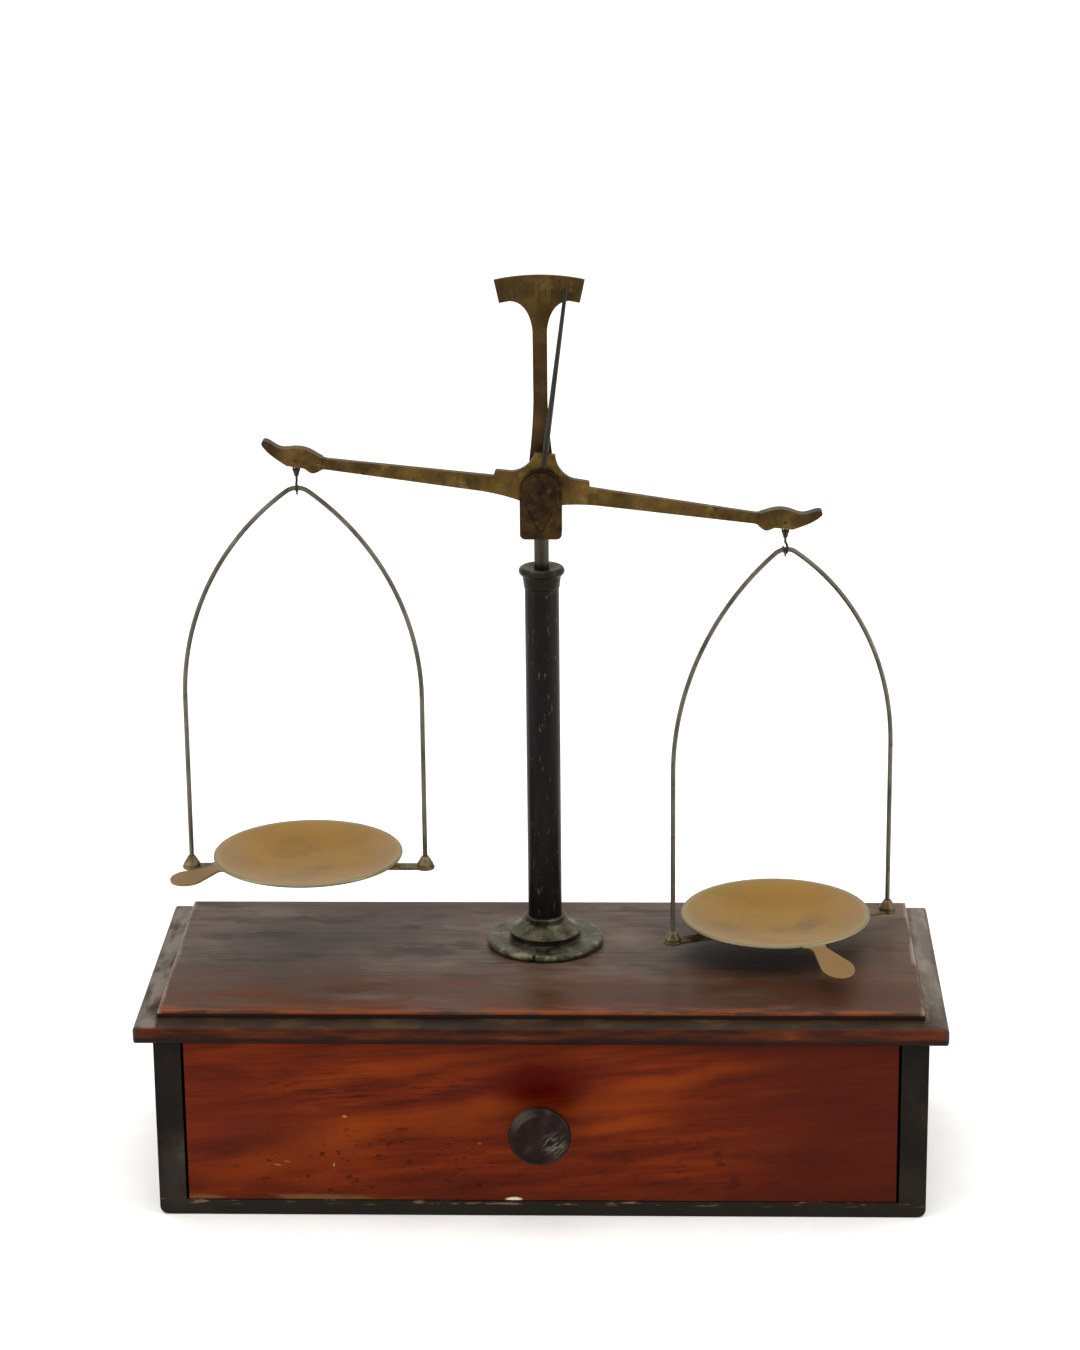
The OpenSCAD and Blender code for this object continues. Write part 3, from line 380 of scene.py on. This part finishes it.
front_part = patch(tree, wavy, (0, -field_y - 12, field_z), (None, 52, None), 0.5)
red_blots = blots(tree, place, (34, 13, 13), (0.40, 0.62), 0.85, shift=0.4)
right_part = patch(tree, wavy, (150, -10, field_z), (42, 70, None), 0.6, 0.5)
browned = blots(tree, place, (80, 40, 40), (0.26, 0.50), 0.75, shift=0.6)
# A painted shadow, nearly black, on the field below the right pan.
painted_pan_shadow = patch(tree, wavy, (90, -4, field_z), (36, 14, None), 0.7, 0.8)
front_right = patch(tree, wavy, (80, 14 - field_y, field_z), (66, 17, None), 0.6, 0.65)
base = layered(tree, base, ("#291a14", lines), ("#2c1e16", clouds),
               ("#3c2312", front_part, browned), ("#4c2410", front_part, red_blots),
               ("#452c1b", right_part), ("#2f1708", front_right), ("#0a0604", painted_pan_shadow))
edge_wear = blots(tree, place, (20, 4, 4), (0.42, 0.60), 0.85, detail=4, shift=0.9)
orange_part = patch(tree, wavy, (0, -field_y, field_z), (None, 6, None), 0.8)
crisp_edge = patch(tree, place, (0, -field_y, field_z), (None, 1.3, 1.3), 0.4)
base = layered(tree, base, ("#653313", orange_part, edge_wear), ("#743510", crisp_edge, edge_wear))
pale_line = patch(tree, wander(tree, mirrored, 26, 1.4), (field_x + 0.2, 0, field_z),
                  (1.5, None, None), 0.6)
pale_wear = blots(tree, place, (20, 20, 20), (0.36, 0.56), 0.8, detail=4, shift=1.3)
base = layered(tree, base, ("#8a7464", pale_line, pale_wear))

# %% Worn polished board: step, ledge and nose
ledge_blots = blots(tree, wavy, (26, 9, 9), detail=4, shift=0.1)
ledge = add(tree, "ShaderNodeValToRGB", {"Fac": ledge_blots}, stops=[
    (0.36, "#1f150c"), (0.52, "#2b1e12"), (0.70, "#42341f")])
side_ledge = patch(tree, mirrored, (board_high.x, 0, field_z),
                   (LEDGE_END_MM - 0.4, None, None), 0.1)
side_dirt = blots(tree, place, (10, 26, 10), (0.40, 0.60), 0.85, detail=4, shift=0.3)
# Painted light: a paler coat along the ledge on the right side.
painted_light_right_ledge = patch(tree, place, (board_high.x - 3, 8, field_z), (7, 66, None), 0.5, 0.35)
ledge = layered(tree, ledge, ("#6b6258", side_ledge, side_dirt), ("#857a6e", painted_light_right_ledge))
nose_blots = blots(tree, place, (26, 26, 4.5), detail=5, shift=0.5)
nose = add(tree, "ShaderNodeValToRGB", {"Fac": nose_blots}, stops=[
    (0.36, "#230c04"), (0.50, "#381504"), (0.62, "#4b1e05"), (0.76, "#66300b")])
nose_side = patch(tree, mirrored, (board_high.x, 0, 0), (2.0, None, None), 0.2, 0.8)
# Painted shade: the underside of the nose made nearly black.
painted_shade_under_nose = patch(tree, place, (0, 0, board_low.z), (None, None, 2.9), 0.35, 0.85)
nose = layered(tree, nose, ("#2c241e", nose_side), ("#0d0503", painted_shade_under_nose))
on_nose = patch(tree, wander(tree, place, 18, 0.5), (0, 0, board_low.z),
                (None, None, field_z - NOSE_DROP_MM - board_low.z - 0.3), 0.06)
below = layered(tree, ledge, (nose.outputs[2], on_nose))
STEP_FOOT = field_z - STEP_MM
# Painted shade: a near-black line in the step below the field.
painted_step_shade = patch(tree, place, (0, 0, STEP_FOOT + 0.8), (None, None, 0.9), 0.25)
below_field = patch(tree, place, (0, 0, board_low.z), (None, None, STEP_FOOT - board_low.z + 0.1),
                    0.02)
base = layered(tree, base, (below.outputs[2], below_field), ("#150a06", painted_step_shade))
surface(board, tree, shader, base, mottle, (0.30, 0.46), lines, 0.05)

# %% [markdown]
# ## Ebonised case
# Beech or pear stained black with iron and vinegar and waxed. It is a warm black with a soft
# sheen, grey where it has been leaned on, and brown where the stain has rubbed off the edges. A
# black that is one colour looks like plastic, so four close blacks share the noise, and a low
# specular level keeps the wax from turning grey in the light of the tent.

# %% Ebonised beech
ebonised, tree, shader, place = start("ebonised_beech", IOR=1.5, **{SHEEN: 0.07})
stain = blots(tree, place, (20, 20, 32), detail=4)
base = add(tree, "ShaderNodeValToRGB", {"Fac": stain}, stops=[
    (0.34, "#0b0906"), (0.50, "#110e0a"), (0.64, "#191510"), (0.80, "#29241d")])
scuffs = blots(tree, place, (8, 8, 13), (0.48, 0.66), 0.75, detail=5, shift=0.5)
leaned_on = patch(tree, wander(tree, place, 12, 5), (-148, -60, 17), (10, 30, 17), 0.6, 0.85)
low_down = patch(tree, place, (0, 0, 3), (None, None, 20), 0.6, 0.7)
rubs = blots(tree, place, (10, 10, 1.4), (0.56, 0.66), 0.85, shift=0.8)
_, plinth_high = box_mm("bottom_board")
plinth_edge = patch(tree, place, (0, 0, plinth_high.z - 0.7), (None, None, 1.1), 0.5)
brown = blots(tree, place, (13, 13, 9), (0.55, 0.72), 0.5, shift=1.1)
base = layered(tree, base, ("#302b25", leaned_on), ("#423b33", scuffs, leaned_on),
               ("#211d18", low_down), ("#21150d", brown), ("#6a5340", plinth_edge, rubs))
surface(ebonised, tree, shader, base, stain, (0.36, 0.55), scuffs, 0.03)

# %% [markdown]
# ## Bare softwood inside
# Drawer sides, back and bottom are planed pine that was never polished. It shows straight
# growth lines a few millimetres apart and has darkened in blots with handling. Rings of a real
# trunk could be cut by the board, but on quarter sawn pieces as thin as these, long flat noise
# gives the same straight lines.

# %% Planed pine
pine, tree, shader, place = start("planed_pine", IOR=1.45, **{SHEEN: 0.3})
rings = blots(tree, place, (90, 60, 2.4), tilt=2)
base = add(tree, "ShaderNodeValToRGB", {"Fac": rings}, stops=[
    (0.36, "#a3784a"), (0.5, "#b98f60"), (0.64, "#8a6238")])
handled = blots(tree, place, (45, 45, 30), (0.5, 0.75), 0.6, shift=0.4)
base = layered(tree, base, ("#6b4a2c", handled))
surface(pine, tree, shader, base, rings, (0.6, 0.8), rings, 0.06)


# %% [markdown]
# ## The turned knob
# Ebonised pear, turned on a lathe and handled until it shines. Fine rings from the turning show
# in the reflections. The dished face has a painted highlight at its lower right, broken up by
# scratches, and the rim a painted highlight at its upper left. The rings are a sine wave of the
# distance from the knob's axis, which is rounder than any texture that is wrapped on.

# %% Turned and ebonised knob
knob_wood, tree, shader, place = start("turned_ebonised_pear", IOR=1.5, **{SHEEN: 0.07})
knob = middle_of("drawer_knob")
knob_z = knob.z * 1000
KNOB_PHASE_PER_M = 5200.0  # a ring every 1.2 millimetres
turned = lathe_rings(tree, place, (0, 0, knob.z), (1, 0, 1), KNOB_PHASE_PER_M)
smear = blots(tree, place, (6, 6, 6), detail=5, tilt=35)
base = add(tree, "ShaderNodeValToRGB", {"Fac": smear}, stops=[
    (0.34, "#120907"), (0.5, "#1b0e0a"), (0.64, "#221613"), (0.80, "#372e26")])
# Painted highlights: grey at the lower right of the face, broken into scratches, and on the rim at
# the upper left.
painted_highlight_low_right = patch(tree, wander(tree, place, 4, 2), (6, FRONT, knob_z - 3), (4, None, 4.5), 0.7)
scratches = blots(tree, place, (5, 5, 1.2), (0.42, 0.62), 0.8, tilt=40, shift=0.2)
arc_disc = patch(tree, place, (0.6, FRONT, knob_z - 0.6), (10.4, None, 10.4), 0.05)
outside = add(tree, "ShaderNodeMath", {0: 1.0, 1: arc_disc}, operation="SUBTRACT")
painted_highlight_upper_left = patch(tree, place, (-8, FRONT, knob_z + 9), (8, None, 5), 0.7, 0.5, tilt=-38)
base = layered(tree, base, ("#5b574c", painted_highlight_low_right, scratches), ("#4c463c", outside, painted_highlight_upper_left))
surface(knob_wood, tree, shader, base, smear, (0.26, 0.42), turned, 0.004)

# %% [markdown]
# ## Japanned column
# A brass tube under black japan: asphalt varnish baked on until it is hard. It is almost black,
# glossy, with soft pale reflections down its sides, and brown metal shows through where a hand
# has slid up and down. It could be a metal with a coat over it, but so little metal is bare that
# a plain varnish with brown flecks looks the same.

# %% Black japan over brass
japan, tree, shader, place = start("black_japan", IOR=1.5, **{SHEEN: 0.10})
slid = blots(tree, place, (5, 5, 30), detail=5)
base = add(tree, "ShaderNodeValToRGB", {"Fac": slid}, stops=[
    (0.36, "#080504"), (0.52, "#090604"), (0.68, "#110c08"), (0.84, "#2a2116")])
flecks = blots(tree, place, (1.6, 1.6, 5), (0.62, 0.72), 0.5, detail=2, shift=0.6)
base = layered(tree, base, ("#54462e", flecks))
surface(japan, tree, shader, base, slid, (0.26, 0.46), slid, 0.05)


# %% [markdown]
# ## The brass work
# All of it is the same metal with different lives. The beam and scale were filed flat and then
# lacquered; the lacquer is gone, the beam is olive brown and the scale browner. The fork is
# nearly chocolate. The flange and the capital were cast and turned and are grey green. The bars
# that carry the pans were hammered and are rubbed paler. One recipe makes them all: a mottled
# patina, rubbed high spots, dark places, and fine marks from the file or the lathe. The dark
# places are patina in hollows, and on the flange and capital they are painted shade. An ambient
# occlusion node could find the hollows, but places keep the render quick and the darkening where
# it is.

# %% Aged brass, one recipe
def aged_brass(name, patina, rubbed, stain, blot_mm, mark_mm, rough, metallic, dark_patina_and_shade=()):
    """Brass with patina, rubs, stains, tool marks, and dark patina and painted shade at places."""
    finish, tree, shader, place = start(name, Metallic=metallic, **{SHEEN: 0.1})
    mottle = blots(tree, place, (blot_mm,) * 3, detail=5)
    base = add(tree, "ShaderNodeValToRGB", {"Fac": mottle}, stops=patina)
    spots = blots(tree, place, (blot_mm * 0.3,) * 3, (0.55, 0.72), 0.6, detail=4, shift=0.3)
    rubs = blots(tree, place, (blot_mm * 0.8,) * 3, (0.56, 0.72), 0.55, shift=0.9)
    base = layered(tree, base, (stain, spots), (rubbed, rubs))
    # Each mask darkens patina in a hollow; on the flange and capital it is painted shade.
    for middle_mm, reach_mm, soft, strength in dark_patina_and_shade:
        hollow = patch(tree, place, middle_mm, reach_mm, soft, strength)
        base = layered(tree, base, (stain, hollow))
    marks = blots(tree, place, mark_mm, detail=2)
    return surface(finish, tree, shader, base, mottle, (rough - 0.06, rough + 0.12), marks, 0.02)


# Each dark place has its middle and reach in millimetres, its softness and its strength.
beam_ends = [corner.x for corner in box_mm("beam")]
beam_brass = aged_brass(
    "filed_brass_gone_olive",
    [(0.34, "#3a2c17"), (0.48, "#4b3a1c"), (0.6, "#5a4622"), (0.74, "#6a4a2a")],
    "#7a6434", "#2c1f14", 9, (6, 6, 0.4), 0.42, 0.75,
    [((x, 0, 0), (7, None, None), 0.5, 0.75) for x in beam_ends])
scale_low, scale_high = box_mm("scale_plate")
scale_brass = aged_brass(
    "filed_brass_gone_brown",
    [(0.34, "#35290f"), (0.48, "#423317"), (0.6, "#4d3c1d"), (0.74, "#563f26")],
    "#64502a", "#35231a", 9, (6, 6, 0.4), 0.42, 0.75,
    [((0, 0, (scale_low.z + scale_high.z) / 2 - 6), (None, None, 34), 0.3, 0.5),
     ((scale_low.x, 0, scale_high.z), (9, None, 14), 0.6, 0.4)])
fork_brass = aged_brass(
    "brown_brass_casting",
    [(0.34, "#1f140b"), (0.5, "#302111"), (0.64, "#3d2b13"), (0.78, "#4c391e")],
    "#584522", "#180e08", 5, (0.8, 0.8, 0.8), 0.4, 0.6,
    [((0, 0, middle_of("bearing_cap_front").z * 1000), (9, None, 9), 0.3, 0.35)])
capital_top, disc_top = (box_mm(name)[1].z for name in ("capital", "flange_disc"))
# On the flange and capital the dark places are painted shade: the side of the capital's rim and
# its neck, the upright wall under the bell's lip and the lower edge of the disc. The middle of the
# bell is made a little darker.
flange_brass = aged_brass(
    "turned_brass_gone_grey_green",
    [(0.34, "#2c2a1e"), (0.48, "#454333"), (0.6, "#5b5845"), (0.76, "#7a745f")],
    "#8a846f", "#17130e", 7, (2.4, 2.4, 0.5), 0.38, 0.6,
    [((0, 0, capital_top - 6.5), (None, None, 6.3), 0.12, 0.88),
     ((0, 0, capital_top - 8.4), (None, None, 4.6), 0.12, 0.6),
     ((0, 0, disc_top + 1.7), (None, None, 1.3), 0.15, 0.85),
     ((0, 0, disc_top + 11), (None, None, 8), 0.2, 0.35),
     ((0, 0, disc_top - 3.1), (None, None, 1.0), 0.4, 0.6)])
foot_brass = aged_brass(
    "hammered_brass_bar",
    [(0.34, "#443a29"), (0.5, "#5e5138"), (0.66, "#766748")],
    "#867858", "#2c2216", 6, (3, 3, 1), 0.45, 0.75)

# %% [markdown]
# ## The pans
# Spun sheet brass, thin and a little uneven. It still gets wiped, so it keeps a dull tan gold,
# with yellow-green clouds, a paler and pinker band toward the rim, and a fine grey line round the
# edge. The bands are set by the distance from the middle of each pan, and the tab lies beyond the
# last of them. The front of each pan carries a painted highlight and its rear is made darker.

# %% Spun sheet brass
# Radius in millimetres and softness of the discs inside the outer band, the rim, the edge and
# the tab.
PAN_DISCS = ((31, 0.3), (38.2, 0.03), (39.7, 0.01), (41.4, 0.01))
PAN_PHASE_PER_M = 4200.0  # a ring every 1.5 millimetres
RING_SHARE = 0.02


def spun_brass(name, middle):
    """Dull sheet brass, paler toward the rim of a pan with that middle, in metres."""
    finish, tree, shader, place = start(name, Metallic=0.85)
    middle_mm = tuple(m * 1000 for m in middle)
    mottle = blots(tree, place, (22, 22, 22), detail=4)
    base = add(tree, "ShaderNodeValToRGB", {"Fac": mottle}, stops=[
        (0.34, "#76571d"), (0.47, "#896624"), (0.58, "#906b2a"), (0.72, "#887028")])
    speckle = blots(tree, place, (2.6, 2.6, 2.6), (0.56, 0.74), 0.4, shift=0.2)
    green = blots(tree, place, (16, 16, 16), (0.50, 0.66), 0.7, detail=4, shift=1.7)
    discs = [patch(tree, place, middle_mm, (radius, radius, None), soft)
             for radius, soft in PAN_DISCS]
    # Masks of all that lies outside each disc.
    outer, rim, edge, beyond = (
        add(tree, "ShaderNodeMath", {0: 1.0, 1: disc}, operation="SUBTRACT") for disc in discs)
    whole = discs[-1]
    # A painted highlight over the front of the pan, and the rear made darker.
    painted_front_highlight = patch(tree, place, (middle_mm[0], middle_mm[1] - 34, 0), (34, 20, None), 0.6, 0.55)
    darker_rear = patch(tree, place, (middle_mm[0], middle_mm[1] + 26, 0), (30, 13, None), 0.6, 0.6)
    base = layered(tree, base, ("#64501a", speckle), ("#8f6f43", outer), ("#7e7528", outer, green),
                   ("#7d5a18", darker_rear), ("#a58352", painted_front_highlight), ("#8f7c54", rim, whole),
                   ("#7c7458", edge, whole), ("#7a5f38", beyond))
    spun = lathe_rings(tree, place, middle, (1, 1, 0), PAN_PHASE_PER_M)
    dents = blots(tree, place, (16, 16, 16), detail=2, shift=0.4)
    height = add(tree, "ShaderNodeMath", {0: spun, 1: RING_SHARE, 2: dents},
                 operation="MULTIPLY_ADD")
    return surface(finish, tree, shader, base, mottle, (0.38, 0.54), height, 0.35)


openings = {o["name"]: o["box_m"] for o in frame["record"]["physics"]["openings"]}
pan_finish = {}
for side in ("left", "right"):
    low, high = (Vector(corner) for corner in openings[side + "_pan_hollow"])
    pan_finish[side] = spun_brass("spun_brass_" + side, tuple((low + high) / 2))


# %% [markdown]
# ## Steel
# The bails are drawn steel wire, grey with brown freckles of rust. The needle, the stirrups, the
# hooks and the end knives are blackened. The bearings and the middle knife are hardened and
# ground, so they are the brightest metal here, though little of them shows. One recipe takes two
# greys and a rust, since old steel differs in these and in little else.

# %% Steel, one recipe
def steel(name, dark, pale, rust, rough, grain_mm):
    """Steel between two greys with rust freckles and marks along its length."""
    finish, tree, shader, place = start(name, Metallic=0.8)
    drift = blots(tree, place, (12, 12, 18), detail=4)
    base = add(tree, "ShaderNodeValToRGB", {"Fac": drift}, stops=[(0.35, dark), (0.65, pale)])
    freckles = blots(tree, place, (3, 3, 4), (0.55, 0.7), 0.7, detail=4, shift=0.2)
    base = layered(tree, base, (rust, freckles))
    return surface(finish, tree, shader, base, drift, (rough, rough + 0.15),
                   blots(tree, place, grain_mm, detail=2), 0.01)


wire_steel = steel("drawn_steel_wire", "#423d35", "#645f56", "#43321f", 0.36, (1, 1, 6))
black_steel = steel("blackened_steel", "#1c1a17", "#2e2b27", "#2c2016", 0.34, (1, 1, 6))
rod_steel = steel("oiled_steel_rod", "#25231a", "#3f3b29", "#33291a", 0.3, (1, 1, 8))
ground_steel = steel("ground_steel", "#7d7a72", "#9c988e", "#5f5240", 0.24, (0.3, 3, 0.3))
nail_iron = steel("rusted_iron_nail", "#2c2721", "#433a2f", "#4a301d", 0.6, (1, 1, 1))

# %% [markdown]
# ## Put each finish on its node
# A CAD node keeps its shape. It gets its finish in its material slots, and where the real piece
# has soft edges, a weld, a narrow bevel and weighted normals round it by a fraction of a
# millimetre, which is what catches the light along an old edge.

# %% Finishes
FINISHES = {
    ebonised: ["bottom_board", "side_panel_left", "side_panel_right", "back_panel"],
    board: ["top_board"],
    mahogany: ["drawer_front"],
    pine: ["stop_blocks", "drawer_side_left", "drawer_side_right", "drawer_back",
           "drawer_bottom"],
    knob_wood: ["drawer_knob"],
    japan: ["column_tube"],
    flange_brass: ["flange_disc", "flange_bell", "capital", "rod_guide", "column_washer",
                   "column_nut"],
    fork_brass: ["fork", "bearing_cap_front", "bearing_cap_rear"],
    beam_brass: ["beam"],
    scale_brass: ["scale_plate", "scale_screws"],
    foot_brass: ["bail_feet_left", "bail_feet_right", "cross_bar_left", "cross_bar_right"],
    pan_finish["left"]: ["pan_left"],
    pan_finish["right"]: ["pan_right"],
    wire_steel: ["bail_left", "bail_right"],
    black_steel: ["pointer", "stirrup_left", "stirrup_right", "hook_left", "hook_right",
                  "end_knife_left", "end_knife_right"],
    rod_steel: ["lift_rod"],
    ground_steel: ["center_knife", "bearing_front", "bearing_rear"],
    nail_iron: ["case_nails", "drawer_nails", "knob_screw"],
}
for finish, names in FINISHES.items():
    for name in names:
        nodes[name].data.materials.clear()
        nodes[name].data.materials.append(finish)
dressed = [name for names in FINISHES.values() for name in names]
print("dressed:", len(dressed), "left bare:", sorted(set(nodes) - set(dressed)))

# %% Softened edges
EDGES_MM = {
    "bottom_board": 0.4, "side_panel_left": 0.5, "side_panel_right": 0.5, "back_panel": 0.4,
    "top_board": 0.35, "drawer_front": 0.5, "drawer_side_left": 0.4, "drawer_side_right": 0.4,
    "drawer_back": 0.4, "drawer_bottom": 0.3, "stop_blocks": 0.4, "fork": 0.3, "beam": 0.3,
    "scale_plate": 0.12, "cross_bar_left": 0.2, "cross_bar_right": 0.2, "column_nut": 0.3,
}
WELD_M = 0.000002
SHARP_DEG = 38
for name, width in EDGES_MM.items():
    item = nodes[name]
    item.data.polygons.foreach_set("use_smooth", [True] * len(item.data.polygons))
    weld = item.modifiers.new("weld", "WELD")
    weld.merge_threshold = WELD_M
    bevel = item.modifiers.new("soft_edge", "BEVEL")
    bevel.width = width * MM
    bevel.segments = 3
    bevel.limit_method = "ANGLE"
    bevel.angle_limit = math.radians(SHARP_DEG)
    flatten = item.modifiers.new("flat_faces", "WEIGHTED_NORMAL")
    flatten.keep_sharp = False
print("softened:", len(EDGES_MM))

# %% [markdown]
# ## Wax in the graduations
# The scale's marks were cut with a graver and filled with black wax. Thirteen thin strips, one
# in each groove, a hair below the face of the plate. Each strip ends in half circles, as a graver
# leaves them. Dark lines in the material of the plate would be less work, but strips keep a crisp
# edge close to and lie in the grooves as wax does.

# %% Graduation wax
def strip_outline(length, width, steps=5):
    """Outline of a strip with round ends, along Z, centred, in metres."""
    half, radius = length / 2 - width / 2, width / 2
    ends = []
    for sign in (1, -1):
        for i in range(steps + 1):
            angle = math.pi * i / steps
            ends.append((sign * radius * math.cos(angle),
                         sign * (half + radius * math.sin(angle))))
    return ends


wax, tree, shader, place = start("black_engraving_wax", IOR=1.45, **{SHEEN: 0.3})
grime = blots(tree, place, (1.5, 1.5, 1.5))
base = add(tree, "ShaderNodeValToRGB", {"Fac": grime}, stops=[
    (0.4, "#17120c"), (0.6, "#2a2115")])
surface(wax, tree, shader, base, grime, (0.45, 0.65), grime, 0.01)

# %% Thirteen strips
SIDE_MARKS = 6
BAND_FOOT_M, BAND_GAP_M = 0.0785, 0.001
END_MARK_DEG = 10.8
LONG_MM, SHORT_MM, WIDE_MM = 5.0, 3.2, 0.3
SUNK_M, THICK_M = 0.00008, 0.0002
pivot_z = middle_of("bearing_cap_front").z
plate_low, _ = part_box("scale_plate")
foot = BAND_FOOT_M + BAND_GAP_M
build = bmesh.new()
for mark in range(-SIDE_MARKS, SIDE_MARKS + 1):
    length = (LONG_MM if mark % 3 == 0 else SHORT_MM) * MM
    turn = mark * math.radians(END_MARK_DEG) / SIDE_MARKS
    loop = []
    for u, v in strip_outline(length, WIDE_MM * MM):
        r = foot + length / 2 + v
        loop.append(build.verts.new((
            r * math.sin(turn) + u * math.cos(turn), plate_low.y + SUNK_M,
            pivot_z + r * math.cos(turn) - u * math.sin(turn))))
    made = bmesh.ops.extrude_face_region(build, geom=[build.faces.new(loop)])
    for v in made["geom"]:
        if isinstance(v, bmesh.types.BMVert):
            v.co.y += THICK_M
bmesh.ops.recalc_face_normals(build, faces=build.faces)
wax_mesh = bpy.data.meshes.new("graduation_wax")
build.to_mesh(wax_mesh)
build.free()
graduation_wax = bpy.data.objects.new("graduation_wax", wax_mesh)
bpy.context.scene.collection.objects.link(graduation_wax)
graduation_wax.data.materials.append(wax)
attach(graduation_wax, "lift")
print("marks:", 2 * SIDE_MARKS + 1)
